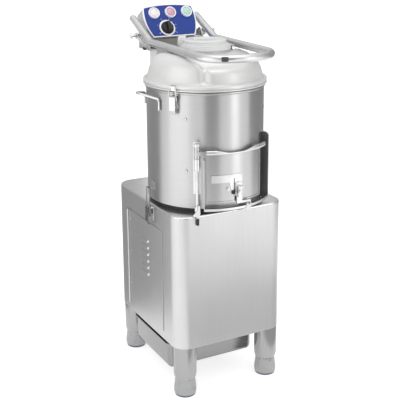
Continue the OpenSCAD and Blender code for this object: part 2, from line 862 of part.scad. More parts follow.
module base_keeper() {
    drop = side_x - barrel_r;
    difference() {
        union() {
            translate([-drop, -8, base_wire_z - 6]) cube([1.5, 16, 22]);
            translate([-drop, -5, base_wire_z - 1.5]) cube([drop + 5.5, 10, 1.5]);
            translate([4, -5, base_wire_z]) cube([1.5, 10, 5]);
        }
        translate([-side_x, 0, deck]) cylinder(r = barrel_r, h = 100);
    }
}

module latch_fixings() {
    color("gainsboro") placed() {
        at_hood_latch() latch_plate(hood_latch_z);
        for (side = [-1, 1]) {
            at_base_latch(side) latch_plate(base_latch_z);
            at_base_latch(side) translate([0, side < 0 ? 3 : -3, 0]) base_keeper();
        }
    }
}

module hood_keeper() {
    n = hood_r - barrel_r;
    color("gainsboro") placed() at_hood_latch() {
        translate([n, -7, rim_z + 1.5]) cube([1.2, 14, 5.5]);
        translate([n, -5, rim_z + 5]) cube([4, 10, 1.5]);
        translate([n + 2.8, -5, rim_z + 6.5]) cube([1.2, 10, 7]);
    }
}

module hood_latch_lever() {
    color("gainsboro") placed() at_hood_latch() latch_lever(hood_latch_z, 32);
}

module hood_latch_wire() {
    color("gray") placed() at_hood_latch() latch_wire(hood_latch_z, hood_wire_n, hood_wire_z);
}

module left_latch_lever() {
    color("gainsboro") placed() at_base_latch(-1) latch_lever(base_latch_z, 34);
}

module left_latch_wire() {
    color("gray") placed() at_base_latch(-1) latch_wire(base_latch_z, base_wire_n, base_wire_z);
}

module right_latch_lever() {
    color("gainsboro") placed() at_base_latch(1) latch_lever(base_latch_z, 34);
}

module right_latch_wire() {
    color("gray") placed() at_base_latch(1) latch_wire(base_latch_z, base_wire_n, base_wire_z);
}

module case_screws() {
    color("gray") placed() for (a = [-136.5, -24, 90], z = [90, 212]) on_barrel(a)
        translate([barrel_r, 0, barrel_z + z]) rotate([0, 90, 0]) {
            cylinder(r = 4, h = 1.2, $fn = 32);
            translate([0, 0, 1.2]) cylinder(r1 = 4, r2 = 2.4, h = 1.6, $fn = 32);
        }
}

// Hood, feed lid and tube frame.

module hood_outer() {
    k = hood_height - 75;
    rotate_extrude() polygon([[0, hood_z], [hood_r, hood_z], [hood_r, rim_z + 8],
        [hood_r - 1.5, rim_z + 16], [hood_r - 9, rim_z + 19], [hood_r - 15.5, rim_z + 27],
        [hood_r - 19, rim_z + 37], [hood_r - 23.5, rim_z + 47 + k * 0.5],
        [hood_r - 31, rim_z + 58 + k], [hood_r - 43, rim_z + 68 + k],
        [hood_r - 57, rim_z + 74 + k], [feed_r + 4, hood_top], [feed_r + 4, collar_z],
        [0, collar_z]]);
}

module hood_inner() {
    k = hood_height - 75;
    rotate_extrude() polygon([[0, hood_z - 1], [hood_r - 2.6, hood_z - 1],
        [hood_r - 2.6, gasket_z + 3.1], [hood_r - 3.6, rim_z + 14],
        [hood_r - 10.5, rim_z + 16.6], [hood_r - 18, rim_z + 26], [hood_r - 21.5, rim_z + 36.5],
        [hood_r - 26, rim_z + 46 + k * 0.5], [hood_r - 33, rim_z + 56 + k],
        [hood_r - 44.2, rim_z + 65.4 + k], [hood_r - 58, rim_z + 71.4 + k],
        [feed_r, hood_top - 2.6], [feed_r, collar_z + 1], [0, collar_z + 1]]);
}

// The raised panel at the front left of the hood.
module hood_panel(inset, a0, a1) {
    r = hood_r - 15 - inset;
    z = hood_top + 3 - inset;
    rotate([0, 0, a0]) rotate_extrude(angle = a1 - a0)
        polygon([[95 + inset, hood_z + 17], [r, hood_z + 17], [r, z - 10], [r - 2, z - 5],
            [r - 6, z - 1.5], [r - 14, z], [95 + inset, z]]);
}

// The frame's own frame: x across, y to the rear, origin between the front corners.
frame_lift = 0.9;
riser_bend = 25 - frame_lift;
riser_elbow = 60;
riser_length = 102;
bow_set = frame_reach - bow_radius;
corner_x = arm_x - corner_bend;
corner_y = barrel_y - bow_set - sqrt(pow(bow_radius - corner_bend, 2) - corner_x * corner_x);
corner_turn = acos(corner_x / (bow_radius - corner_bend));
arm_length = pivot_y - 71 - corner_y;
bend_gap = 0.1;

module in_frame() {
    translate([0, corner_y, arm_z]) rotate([frame_lift, 0, 0]) children();
}

module tube_section(r, hollow) {
    difference() {
        circle(r, $fn = 48);
        if (hollow > 0) circle(hollow, $fn = 48);
    }
}

// A rod with a domed end that stands on the origin, as one turned shape.
module domed_section(r, length) {
    intersection() {
        union() {
            translate([-r, 0]) square([2 * r, length]);
            translate([0, length]) circle(r, $fn = 48);
        }
        square([r, length + r + 1]);
    }
}

module frame_arm(r, hollow) {
    translate([arm_x, bend_gap, 0]) rotate([-90, 0, 0])
        linear_extrude(arm_length - 2 * bend_gap) tube_section(r, hollow);
}

module frame_riser(r, hollow) {
    translate([arm_x, arm_length + riser_elbow * sin(riser_bend),
        riser_elbow * (1 - cos(riser_bend))])
        rotate([riser_bend - 90, 0, 0]) translate([0, 0, bend_gap])
        rotate_extrude($fn = 48) difference() {
            domed_section(r, riser_length);
            if (hollow > 0) intersection() {
                translate([0, -1]) domed_section(hollow, riser_length + 1);
                square([r, riser_length + r]);
            }
        }
}

// A low weld bead round the tube where a bend begins.
module bead(r, hollow) {
    linear_extrude(0.6, center = true) tube_section(r + 0.12, hollow > 0 ? hollow - 0.12 : 0);
}

module frame_bow(r, hollow) {
    cut = atan(bend_gap / bow_radius);
    translate([0, barrel_y - bow_set - corner_y, 0])
        rotate([0, 0, corner_turn - 180 + cut])
        rotate_extrude(angle = 180 - 2 * corner_turn - 2 * cut) translate([bow_radius, 0])
        tube_section(r, hollow);
}

module frame_side(r, hollow) {
    cut = atan(bend_gap / corner_bend);
    translate([corner_x, 0, 0]) rotate([0, 0, -corner_turn]) {
        rotate([0, 0, cut]) rotate_extrude(angle = corner_turn - 2 * cut)
            translate([corner_bend, 0]) tube_section(r, hollow);
        translate([corner_bend, 0, 0]) rotate([90, 0, 0]) bead(r, hollow);
    }
    translate([arm_x, 0, 0]) rotate([90, 0, 0]) bead(r, hollow);
    frame_arm(r, hollow);
    translate([arm_x, arm_length, 0]) rotate([90, 0, 0]) bead(r, hollow);
    translate([arm_x, arm_length, riser_elbow]) rotate([0, 90, 0]) {
        rotate([0, 0, cut]) rotate_extrude(angle = riser_bend - 2 * cut)
            translate([riser_elbow, 0]) tube_section(r, hollow);
        rotate([0, 0, riser_bend]) translate([riser_elbow, 0, 0]) rotate([90, 0, 0])
            bead(r, hollow);
    }
    frame_riser(r, hollow);
}

module frame_run(r, hollow) {
    frame_bow(r, hollow);
    frame_side(r, hollow);
    mirror([1, 0, 0]) frame_side(r, hollow);
}

module hood_shell() {
    color("whitesmoke") placed() difference() {
        on_barrel(0) difference() {
            union() {
                hood_outer();
                hood_panel(0, 167, 238);
            }
            hood_inner();
            hood_panel(2.6, 168.2, 236.8);
            disc(feed_r, hood_top - 10, collar_z + 5);
        }
        in_frame() for (s = [0, 1]) mirror([s, 0, 0]) frame_arm(tube_r + 0.02, 0);
    }
}

module hood_gasket() {
    color("dimgray") placed() on_barrel(0)
        ring(hood_r - 2.65, barrel_r - 4, gasket_z, gasket_z + 3);
}

module feed_lid() {
    r = feed_lid_diameter / 2;
    h = feed_lid_height;
    color("white") placed() on_barrel(0) {
        translate([0, 0, lid_z]) rotate_extrude() polygon([[0, h - 3], [r - 15, h - 3.4],
            [r - 13.6, 12], [r - 12, 10], [r - 6.4, 8.6], [r - 4.6, 4], [r - 3.4, 0],
            [r, 0], [r, 4], [r - 2, 6.6], [r - 3.6, 10.6], [r - 8.4, 12.2], [r - 10.4, 14],
            [r - 11.6, h - 2.6], [r - 14, h - 0.6], [r - 18, h], [r - 18.8, h - 0.7],
            [r - 21, h - 0.7], [r - 21.8, h], [0, h]]);
        difference() {
            union() {
                translate([r - 1.5, -11, lid_z + 1.2]) cube([7, 22, 2.6]);
                rod_y(-11, 11, lid_pivot_x, lid_pivot_z, 3.2);
            }
            rod_y(-20, 20, lid_pivot_x, lid_pivot_z, 1.5 + bore_gap);
        }
    }
}

module lid_hinge() {
    color("gray") placed() on_barrel(0) difference() {
        union() {
            for (s = [0, 1]) mirror([0, s, 0]) {
                rod_y(11.4, 19, lid_pivot_x, lid_pivot_z, 3.2);
                translate([lid_pivot_x - 3.2, 11.4, hood_top - 6])
                    cube([6.4, 7.6, lid_pivot_z - hood_top + 6]);
                translate([lid_pivot_x - 3.2, 11.4, hood_top - 10]) cube([13, 7.6, 12]);
            }
            rod_y(-21, 21, lid_pivot_x, lid_pivot_z, 1.5);
        }
        hood_outer();
    }
}

module tube_frame() {
    color("gainsboro") placed() in_frame() frame_run(tube_r, tube_r - 1.5);
}

module frame_ears() {
    color("gainsboro") placed() for (s = [0, 1]) mirror([s, 0, 0]) difference() {
        union() {
            rod_x(arm_x - 2.5, arm_x + 2.5, pivot_y, pivot_z, 10);
            translate([arm_x - 2.5, pivot_y - 9, pivot_z]) cube([5, 18, 12]);
        }
        rod_x(arm_x - 10, arm_x + 10, pivot_y, pivot_z, 4 + bore_gap);
        in_frame() frame_riser(tube_r + 0.02, 0);
    }
    // Rubber pad on the front of the frame.
    color("dimgray") placed() in_frame() translate([0, barrel_y - bow_set - corner_y, 0])
        rotate([0, 0, -117]) rotate_extrude(angle = 5.6) translate([bow_radius, 0])
        intersection() {
            difference() {
                circle(tube_r + 1.6, $fn = 48);
                circle(tube_r + 0.15, $fn = 48);
            }
            translate([3, -7]) square([12, 11]);
        }
}

module stop_straps() {
    x0 = arm_x + tube_r + 1;
    color("gray") placed() for (s = [0, 1]) mirror([s, 0, 0]) {
        difference() {
            union() {
                rod_x(x0, x0 + 3, pivot_y, pivot_z, 8);
                translate([x0, pivot_y, pivot_z]) rotate([21.5, 0, 0])
                    translate([0, -60, -5]) cube([3, 60, 10]);
            }
            rod_x(x0 - 5, x0 + 5, pivot_y, pivot_z, 4.01);
        }
        translate([x0 + 1.5, pivot_y, pivot_z]) rotate([21.5, 0, 0])
            translate([0, -54, -4.8]) rotate([180, 0, 0]) cylinder(r = 4.5, h = 6, $fn = 32);
    }
}

module frame_yoke() {
    y0 = panel_back - 39;
    y1 = panel_back + 25;
    lean = panel_lean;
    color("silver") placed() difference() {
        union() {
            translate([-yoke_x, y0, yoke_z]) cube([2 * yoke_x, y1 - y0, 4]);
            for (s = [0, 1]) mirror([s, 0, 0]) translate([yoke_x - 3, 0, 0])
                rotate([90, 0, 90]) linear_extrude(3) union() {
                    polygon([[y0, yoke_z + 2], [y1, yoke_z + 2], [y1, yoke_z + 32],
                        [pivot_y + 9, pivot_z + 7], [pivot_y - 9, pivot_z + 7],
                        [y0, yoke_z + 20]]);
                    translate([pivot_y, pivot_z]) circle(11);
                }
            translate([0, panel_back, panel_z]) rotate([90 - lean, 0, 0])
                translate([-yoke_x + 2.5, face_bottom - 1.5, -box_depth + 4])
                cube([2 * yoke_x - 5, 3, box_depth - 10]);
        }
        rod_x(-100, 100, pivot_y, pivot_z, 4.02);
    }
}

module hinge_pins() {
    color("gray") placed() for (s = [0, 1]) mirror([s, 0, 0]) {
        rod_x(yoke_x - 4, pin_end, pivot_y, pivot_z, 4);
        difference() {
            rod_x(yoke_x, arm_x - 2.5 - free_gap, pivot_y, pivot_z, 5.5);
            rod_x(yoke_x - 8, arm_x, pivot_y, pivot_z, 3.9);
        }
        rod_x(pin_end, pin_end + 3, pivot_y, pivot_z, 7);
    }
}

module rear_post() {
    z0 = deck + 4;
    color("silver") placed() translate([0, post_y, 0]) {
        difference() {
            slab(post_w, post_d, 5, z0, yoke_z);
            slab(post_w - 4, post_d - 4, 3, z0 - 1, yoke_z + 1);
        }
        difference() {
            slab(90, post_d + 26, 6, deck, z0);
            disc(14, deck - 1, z0 + 1);
        }
    }
}

// Control box. In its own frame x runs across, y up the slope and z out of the panel.

module at_panel() {
    translate([0, panel_back, panel_z]) rotate([90 - panel_lean, 0, 0]) children();
}

module face(grow) {
    intersection() {
        translate([37, 5]) circle(110 + grow);
        translate([-37, 5]) circle(110 + grow);
        translate([-100, face_bottom - grow])
            square([200, face_top - face_bottom + 2 * grow]);
    }
}

module control_housing() {
    color("darkgray") placed() at_panel() difference() {
        translate([0, 0, -box_depth]) linear_extrude(box_depth - 3) face(-1.5);
        translate([0, 0, -box_depth + 2]) linear_extrude(box_depth) face(-3.5);
    }
}

module control_rim() {
    color("white") placed() at_panel() translate([0, 0, -3]) linear_extrude(4.5) difference() {
        face(0);
        face(-3);
    }
}

module control_panel() {
    color("royalblue") placed() at_panel() translate([0, 0, -2.5]) linear_extrude(3) difference() {
        face(-3.05);
        for (u = row_u) translate([u, row_v]) circle(button_r + 0.3);
        translate([knob_u, knob_v]) circle(4);
    }
}

module control_bezels() {
    color("white") placed() at_panel() translate([0, 0, 0.5]) {
        for (u = row_u) translate([u, row_v, 0]) ring(button_r + 3.8, button_r + 0.3, 0, 3);
        translate([knob_u, knob_v, 0]) ring(knob_diameter / 2 + 4.9, knob_diameter / 2 + 0.7, 0, 1.2);
    }
}

module button_cap(u, grow) {
    translate([u, row_v, 0]) rotate_extrude() polygon([[0, -8], [button_r - 1, -8],
        [button_r + grow, -7], [button_r + grow, 3.6], [button_r - 1.2, 5.6], [0, 6.4]]);
}

module power_lamp() {
    color("ghostwhite") placed() at_panel() button_cap(row_u[0], 0.25);
}

module stop_button() {
    color("red") placed() at_panel() button_cap(row_u[1], 0);
}

module start_button() {
    color("green") placed() at_panel() button_cap(row_u[2], 0);
}

module timer_knob() {
    r = knob_diameter / 2;
    color("black") placed() at_panel() translate([knob_u, knob_v, 0]) {
        rotate_extrude() polygon([[0, -14], [3, -14], [3, 0.9], [r, 0.9], [r, 3], [r - 1.2, 5],
            [r - 3, 16], [r - 4.5, 17.5], [0, 17.5]]);
        translate([-1, 0, 17]) cube([2, r - 3, 1.4]);
    }
}

module control_switches() {
    color("dimgray") placed() at_panel() {
        difference() {
            translate([knob_u - 17, knob_v - 12, -30]) cube([34, 30, 27.5]);
            translate([knob_u, knob_v, -16]) cylinder(r = 3 + bore_gap, h = 20, $fn = 48);
        }
        // Contact blocks, each with the collar that clips it to the panel's back.
        for (u = row_u) {
            translate([u - 10, row_v - 10, -34]) cube([20, 20, 20]);
            translate([u, row_v, 0]) ring(button_r + 2.4, button_r + 0.35, -14, -2.5);
            translate([u, row_v, 0]) ring(button_r + 2.4, 6, -16, -14);
        }
    }
}

pedestal_shell();
base_plate();
leg_tubes();
foot_front_left();
foot_front_right();
foot_rear_left();
foot_rear_right();
barrel_shell();
barrel_floor();
abrasive_liner();
drain_pipe();
bearing_housing();
spindle_bearings();
spindle();
abrasive_disc();
driven_pulley();
motor_frame();
motor_rotor();
motor_pulley();
motor_mount();
drive_belt();
rear_post();
frame_yoke();
hinge_pins();
control_housing();
control_rim();
control_panel();
control_bezels();
power_lamp();
stop_button();
start_button();
timer_knob();
control_switches();
hood_shell();
hood_gasket();
feed_lid();
lid_hinge();
tube_frame();
frame_ears();
stop_straps();
barrel_bails();
latch_fixings();
hood_keeper();
hood_latch_lever();
hood_latch_wire();
left_latch_lever();
left_latch_wire();
right_latch_lever();
right_latch_wire();
access_door();
access_hinge();
peel_tray();
tray_runners();
discharge_chute();
discharge_door();
door_liner();
door_hinge();
door_latch_lever();
cable_gland();
case_screws();
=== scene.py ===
"""The dressed electric potato peeler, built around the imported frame.

Shapes are drawn in millimetres, x to the right, y to the rear and z up, measured on the
floor under the middle of the pedestal. Stock turns them into pieces in the row frame.
"""
import json
import logging
import math
from contextlib import contextmanager
from dataclasses import dataclass, field
from enum import Enum
from typing import Iterator, Optional, Sequence

import bmesh
import bpy
from mathutils import Matrix, Vector
from mathutils.geometry import tessellate_polygon

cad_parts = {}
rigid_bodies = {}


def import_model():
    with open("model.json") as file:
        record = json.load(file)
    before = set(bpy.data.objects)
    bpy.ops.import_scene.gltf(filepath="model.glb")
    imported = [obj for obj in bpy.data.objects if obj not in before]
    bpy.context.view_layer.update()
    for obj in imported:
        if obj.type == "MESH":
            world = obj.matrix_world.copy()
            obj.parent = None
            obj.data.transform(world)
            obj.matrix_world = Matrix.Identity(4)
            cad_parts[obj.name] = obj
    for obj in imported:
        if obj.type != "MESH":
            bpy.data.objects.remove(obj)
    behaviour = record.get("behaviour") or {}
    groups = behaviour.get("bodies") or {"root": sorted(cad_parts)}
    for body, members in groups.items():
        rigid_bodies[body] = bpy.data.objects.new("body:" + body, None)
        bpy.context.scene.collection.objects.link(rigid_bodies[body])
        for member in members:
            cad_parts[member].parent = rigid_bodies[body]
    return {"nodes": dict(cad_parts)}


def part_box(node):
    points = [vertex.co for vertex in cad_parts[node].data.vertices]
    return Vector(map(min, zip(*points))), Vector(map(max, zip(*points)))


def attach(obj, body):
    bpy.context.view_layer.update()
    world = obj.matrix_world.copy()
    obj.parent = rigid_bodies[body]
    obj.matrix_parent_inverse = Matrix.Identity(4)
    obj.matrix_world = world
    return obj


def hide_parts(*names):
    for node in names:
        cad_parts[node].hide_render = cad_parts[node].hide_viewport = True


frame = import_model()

Point = tuple[float, float, float]
Flat = tuple[float, float]

MM = 0.001
DRUM_Y = -43.0
DRUM_R = 142.5
DRUM_Z = 474.0
RIM_Z = 750.0
DECK = 463.0
BASE = 130.0
SIDE_X = 147.0
LEAN = math.radians(31.0)
PANEL_Y = 143.0
PANEL_Z = 884.0

LOG = logging.getLogger("peeler")


def shift_in_depth() -> float:
    """The row frame's y, in millimetres, of the pedestal's middle."""
    low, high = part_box("abrasive_disc")
    return (low[1] + high[1]) / 2 / MM - DRUM_Y


SHIFT = shift_in_depth()


def polar(angle: float, radius: float, height: float) -> Point:
    """A point round the drum's axis, from an angle in degrees, a radius and a height."""
    a = math.radians(angle)
    return (radius * math.cos(a), DRUM_Y + radius * math.sin(a), height)


def smooth(edge0: float, edge1: float, value: float) -> float:
    """Zero before edge0, one after edge1 and a soft step between."""
    t = min(1.0, max(0.0, (value - edge0) / (edge1 - edge0)))
    return t * t * (3 - 2 * t)


def on_drum(angle: float, radius: float = 0.0, height: float = 0.0) -> Matrix:
    """A place on the drum: x points outwards at the angle, z up."""
    return (Matrix.Translation((0, DRUM_Y, height)) @ Matrix.Rotation(math.radians(angle), 4, "Z")
            @ Matrix.Translation((radius, 0, 0)))


def panel_place() -> Matrix:
    """The control panel's face: x across, y up the slope and z out of it."""
    return (Matrix.Translation((0, PANEL_Y, PANEL_Z))
            @ Matrix.Rotation(math.pi / 2 - LEAN, 4, "X"))


def rounded_path(corners: Sequence[Point], radius: float, steps: int = 8) -> list[Point]:
    """A path through corner points, with each inner corner turned on a smooth curve.

    Args:
        corners: the corner points.
        radius: how far from a corner the curve begins.
        steps: points on each curve.

    Returns:
        The points of the path.
    """
    out: list[Point] = [corners[0]]
    for before, here, after in zip(corners, corners[1:], corners[2:]):
        a, b, c = Vector(before), Vector(here), Vector(after)
        p = b + (a - b).normalized() * min(radius, (a - b).length * 0.49)
        q = b + (c - b).normalized() * min(radius, (c - b).length * 0.49)
        for i in range(steps + 1):
            t = i / steps
            out.append(tuple(p * (1 - t) ** 2 + b * 2 * t * (1 - t) + q * t * t))
    out.append(corners[-1])
    return out


def arc(centre: Flat, radius: float, a0: float, a1: float, steps: int) -> list[Flat]:
    """Points on a flat arc, from angle a0 to a1 in degrees."""
    return [(centre[0] + radius * math.cos(math.radians(a0 + (a1 - a0) * i / steps)),
             centre[1] + radius * math.sin(math.radians(a0 + (a1 - a0) * i / steps)))
            for i in range(steps + 1)]


def rounded_outline(width: float, depth: float, radius: float, steps: int = 10) -> list[Flat]:
    """A rectangle with round corners, about the origin, anticlockwise."""
    w, d = width / 2 - radius, depth / 2 - radius
    out: list[Flat] = []
    for (x, y), a in zip(((w, d), (-w, d), (-w, -d), (w, -d)), (0, 90, 180, 270)):
        out += arc((x, y), radius, a, a + 90, steps)
    return out


class Edge(Enum):
    """How a piece's edges are finished, as the bevel's width in millimetres."""

    RAW = 0.0
    FINE = 0.25
    EASED = 0.5
    SOFT = 1.0


@dataclass
class Stock:
    """A mesh in the making, in millimetres, before it is cut loose as a piece."""

    points: list[Vector] = field(default_factory=list)
    faces: list[tuple[int, ...]] = field(default_factory=list)
    place: Matrix = field(default_factory=lambda: Matrix.Identity(4))

    @contextmanager
    def at(self, place: Matrix) -> Iterator["Stock"]:
        """What is added inside the block is drawn in that place's own axes."""
        before = self.place
        self.place = before @ place
        try:
            yield self
        finally:
            self.place = before

    def add(self, points: Sequence[Point], faces: Sequence[Sequence[int]]) -> "Stock":
        """Adds loose points and faces, drawn in the present place."""
        first = len(self.points)
        self.points += [self.place @ Vector(p) for p in points]
        self.faces += [tuple(first + i for i in face) for face in faces]
        return self

    def loft(self, rings: Sequence[Sequence[Point]], around: bool = True, along: bool = False,
             caps: bool = True) -> "Stock":
        """Skins rings of equally many points.

        Args:
            rings: the rings, one after another.
            around: whether each ring closes on itself.
            along: whether the last ring joins the first.
            caps: whether the first and last ring get a face.

        Returns:
            The stock itself.
        """
        n, m = len(rings[0]), len(rings)
        faces: list[Sequence[int]] = []
        for i in range(m if along else m - 1):
            for j in range(n if around else n - 1):
                a, b = i * n + j, i * n + (j + 1) % n
                c, d = (i + 1) % m * n + (j + 1) % n, (i + 1) % m * n + j
                faces.append((a, b, c, d))
        if caps and not along and around:
            faces.append(tuple(range(n))[::-1])
            faces.append(tuple(range((m - 1) * n, m * n)))
        return self.add([p for ring in rings for p in ring], faces)

    def turned(self, profile: Sequence[Flat], steps: int = 96, a0: float = 0.0,
               a1: float = 360.0, closed: bool = False) -> "Stock":
        """Turns a profile of (radius, height) about the place's z axis.

        Args:
            profile: the profile's points.
            steps: faces round the turn.
            a0: first angle in degrees.
            a1: last angle in degrees.
            closed: whether the profile's end joins its start.

        Returns:
            The stock itself.
        """
        whole = abs(a1 - a0 - 360) < 1e-6
        angles = [math.radians(a0 + (a1 - a0) * i / steps) for i in range(steps + (not whole))]
        rings = [[(r * math.cos(a), r * math.sin(a), z) for r, z in profile] for a in angles]
        return self.loft(rings, around=closed, along=whole, caps=closed)

    def tube(self, path: Sequence[Point], radius: float | Sequence[float],
             sides: int = 20) -> "Stock":
        """Sweeps a circle along a path.

        Args:
            path: the path's points.
            radius: the radius, or one for each point.
            sides: points on the circle.

        Returns:
            The stock itself.
        """
        pts = [Vector(p) for p in path]
        widths = [radius] * len(pts) if isinstance(radius, float) else list(radius)
        rings: list[list[Point]] = []
        side = (pts[1] - pts[0]).orthogonal().normalized()
        for i, p in enumerate(pts):
            ahead = (pts[min(i + 1, len(pts) - 1)] - pts[max(i - 1, 0)]).normalized()
            side = (side - ahead * side.dot(ahead)).normalized()
            up = ahead.cross(side)
            rings.append([tuple(p + (side * math.cos(a) + up * math.sin(a)) * widths[i])
                          for a in (math.tau * j / sides for j in range(sides))])
        return self.loft(rings)

    def block(self, low: Point, high: Point) -> "Stock":
        """A box between two corners, to be finished by its bevel."""
        ring = [(0, 0), (1, 0), (1, 1), (0, 1)]
        pick = lambda u, v, z: (high[0] if u else low[0], high[1] if v else low[1], z)
        return self.loft([[pick(u, v, low[2]) for u, v in ring],
                          [pick(u, v, high[2]) for u, v in ring]])

    def plate(self, outline: Sequence[Flat], z0: float, z1: float,
              holes: Sequence[Sequence[Flat]] = ()) -> "Stock":
        """A flat plate with an outline and holes, between two heights."""
        loops = [list(outline)] + [list(h) for h in holes]
        flat = [[Vector((x, y, 0)) for x, y in loop] for loop in loops]
        tris = tessellate_polygon(flat)
        points = [(x, y, z) for z in (z0, z1) for loop in loops for x, y in loop]
        count = sum(len(loop) for loop in loops)
        faces: list[Sequence[int]] = [tuple(t) for t in tris]
        faces += [tuple(i + count for i in t)[::-1] for t in tris]
        first = 0
        for loop in loops:
            n = len(loop)
            faces += [(first + j, first + (j + 1) % n, count + first + (j + 1) % n,
                       count + first + j) for j in range(n)]
            first += n
        return self.add(points, faces)

    def bent(self, r0: float, r1: float, a0: float, a1: float, z0: float, z1: float,
             steps: int = 24) -> "Stock":
        """A piece of a wall bent round the place's z axis."""
        return self.turned([(r0, z0), (r1, z0), (r1, z1), (r0, z1)], steps, a0, a1, closed=True)

    def walled(self, outer: Sequence[Flat], inner: Sequence[Flat], heights: Sequence[float],
               openings: frozenset[tuple[int, int]] = frozenset()) -> "Stock":
        """An upright wall with an outer and an inner skin, and openings through both.

        Args:
            outer: the outer outline.
            inner: the inner outline, with as many points.
            heights: the rows, from low to high.
            openings: the (column, row) cells that are left open.

        Returns:
            The stock itself.
        """
        n, m = len(outer), len(heights)
        at = lambda skin, row, col: (skin * m + row) * n + col % n
        solid = lambda row, col: 0 <= row < m - 1 and (col % n, row) not in openings
        faces: list[Sequence[int]] = []
        for row in range(m - 1):
            for col in (c for c in range(n) if solid(row, c)):
                ring = ((row, col), (row, col + 1), (row + 1, col + 1), (row + 1, col))
                faces.append([at(0, r, c) for r, c in ring])
                faces.append([at(1, r, c) for r, c in ring][::-1])
                beyond = ((row - 1, col), (row, col + 1), (row + 1, col), (row, col - 1))
                for i, cell in enumerate(beyond):
                    if not solid(*cell):
                        a, b = ring[i], ring[(i + 1) % 4]
                        faces.append((at(0, *b), at(0, *a), at(1, *a), at(1, *b)))
        return self.add([(x, y, z) for loop in (outer, inner) for z in heights
                         for x, y in loop], faces)


@dataclass(frozen=True)
class Finished:
    """A piece that has been cut loose, as it is reported."""

    name: str
    body: str
    nodes: tuple[str, ...]
    faces: int


class Term:
    """A socket in a shader tree that can be worked with like a number."""

    def __init__(self, paint: "Paint", socket: object) -> None:
        """Args:
            paint: the tree it is in.
            socket: an output socket, or a number.
        """
        self.paint, self.socket = paint, socket

    def _math(self, kind: str, first: object, second: object) -> "Term":
        """One Math node on two values."""
        return self.paint.node("ShaderNodeMath", {"operation": kind}, {0: first, 1: second})

    def __add__(self, other: object) -> "Term":
        """Sum."""
        return self._math("ADD", self, other)

    def __mul__(self, other: object) -> "Term":
        """Product."""
        return self._math("MULTIPLY", self, other)

    def above(self, edge: float, width: float) -> "Term":
        """A soft step from 0 to 1 where the value passes an edge."""
        return self.paint.node("ShaderNodeMapRange", {"interpolation_type": "SMOOTHSTEP"},
                               {"Value": self, "From Min": edge - width, "From Max": edge + width})


class Paint:
    """A material's tree, with the few kinds of nodes that the finishes use."""

    def __init__(self, name: str) -> None:
        """Args:
            name: the material's name.
        """
        self.material = bpy.data.materials.new(name)
        self.material.use_nodes = True
        self.tree = self.material.node_tree
        self.shader = self.tree.nodes["Principled BSDF"]
        self.where = self.tree.nodes.new("ShaderNodeTexCoord").outputs["Object"]

    def node(self, kind: str, settings: dict, inputs: dict, output: int | str = 0) -> Term:
        """Adds any node.

        Args:
            kind: the node's type.
            settings: properties, set before the sockets.
            inputs: values or links by socket name or number.
            output: which output to return.

        Returns:
            The chosen output.
        """
        made = self.tree.nodes.new(kind)
        for key, value in settings.items():
            if key == "stops":
                ramp = made.color_ramp.elements
                while len(ramp) < len(value):
                    ramp.new(1.0)
                for stop, (at, colour) in zip(ramp, value):
                    stop.position, stop.color = at, colour
            else:
                setattr(made, key, value)
        for key, value in inputs.items():
            self.join(value, made.inputs[key])
        return Term(self, made.outputs[output])

    def join(self, value: object, socket: object) -> None:
        """Links a term to a socket, or sets the socket's own value."""
        source = value.socket if isinstance(value, Term) else value
        if isinstance(source, bpy.types.NodeSocket):
            self.tree.links.new(source, socket)
        else:
            socket.default_value = source

    def spread(self, scale: Point, centre: Point = (0, 0, 0)) -> Term:
        """Object coordinates, stretched by a scale for each axis."""
        return self.node("ShaderNodeMapping", {}, {"Vector": self.where, "Scale": scale,
                                                   "Location": centre})

    def noise(self, where: object, scale: float, detail: float = 3.0,
              rough: float = 0.5) -> Term:
        """Soft noise from 0 to 1."""
        return self.node("ShaderNodeTexNoise", {}, {"Vector": where, "Scale": scale,
                                                    "Detail": detail, "Roughness": rough})

    def blend(self, factor: object, first: object, second: object) -> Term:
        """A colour between two."""
        return self.node("ShaderNodeMix", {"data_type": "RGBA"},
                         {0: factor, 6: first, 7: second}, 2)

    def bump(self, height: object, strength: float, depth: float,
             under: Optional[Term] = None) -> Term:
        """A Bump node, on top of another if one is given."""
        inputs: dict = {"Height": height, "Strength": strength, "Distance": depth}
        if under is not None:
            inputs["Normal"] = under
        return self.node("ShaderNodeBump", {}, inputs)

    def set(self, **sockets: object) -> None:
        """Sets or links the shader's own sockets, with _ for a space in a name."""
        for key, value in sockets.items():
            self.join(value, self.shader.inputs[key.replace("_", " ")])

    def coordinate(self, axis: str) -> Term:
        """One of the object coordinates, in metres."""
        return self.node("ShaderNodeSeparateXYZ", {}, {0: self.where}, axis)


def grey(value: float, tint: Point = (1.0, 1.0, 1.0)) -> tuple[float, ...]:
    """A grey of that lightness, with a tint."""
    return tuple(value * c for c in tint) + (1.0,)


class Grain(Enum):
    """Which way a brushed surface's lines run, as the noise's scale on x, y and z."""

    LEVEL = (6.0, 6.0, 900.0)
    UPRIGHT = (900.0, 900.0, 6.0)
    CROSSWAYS = (6.0, 700.0, 700.0)


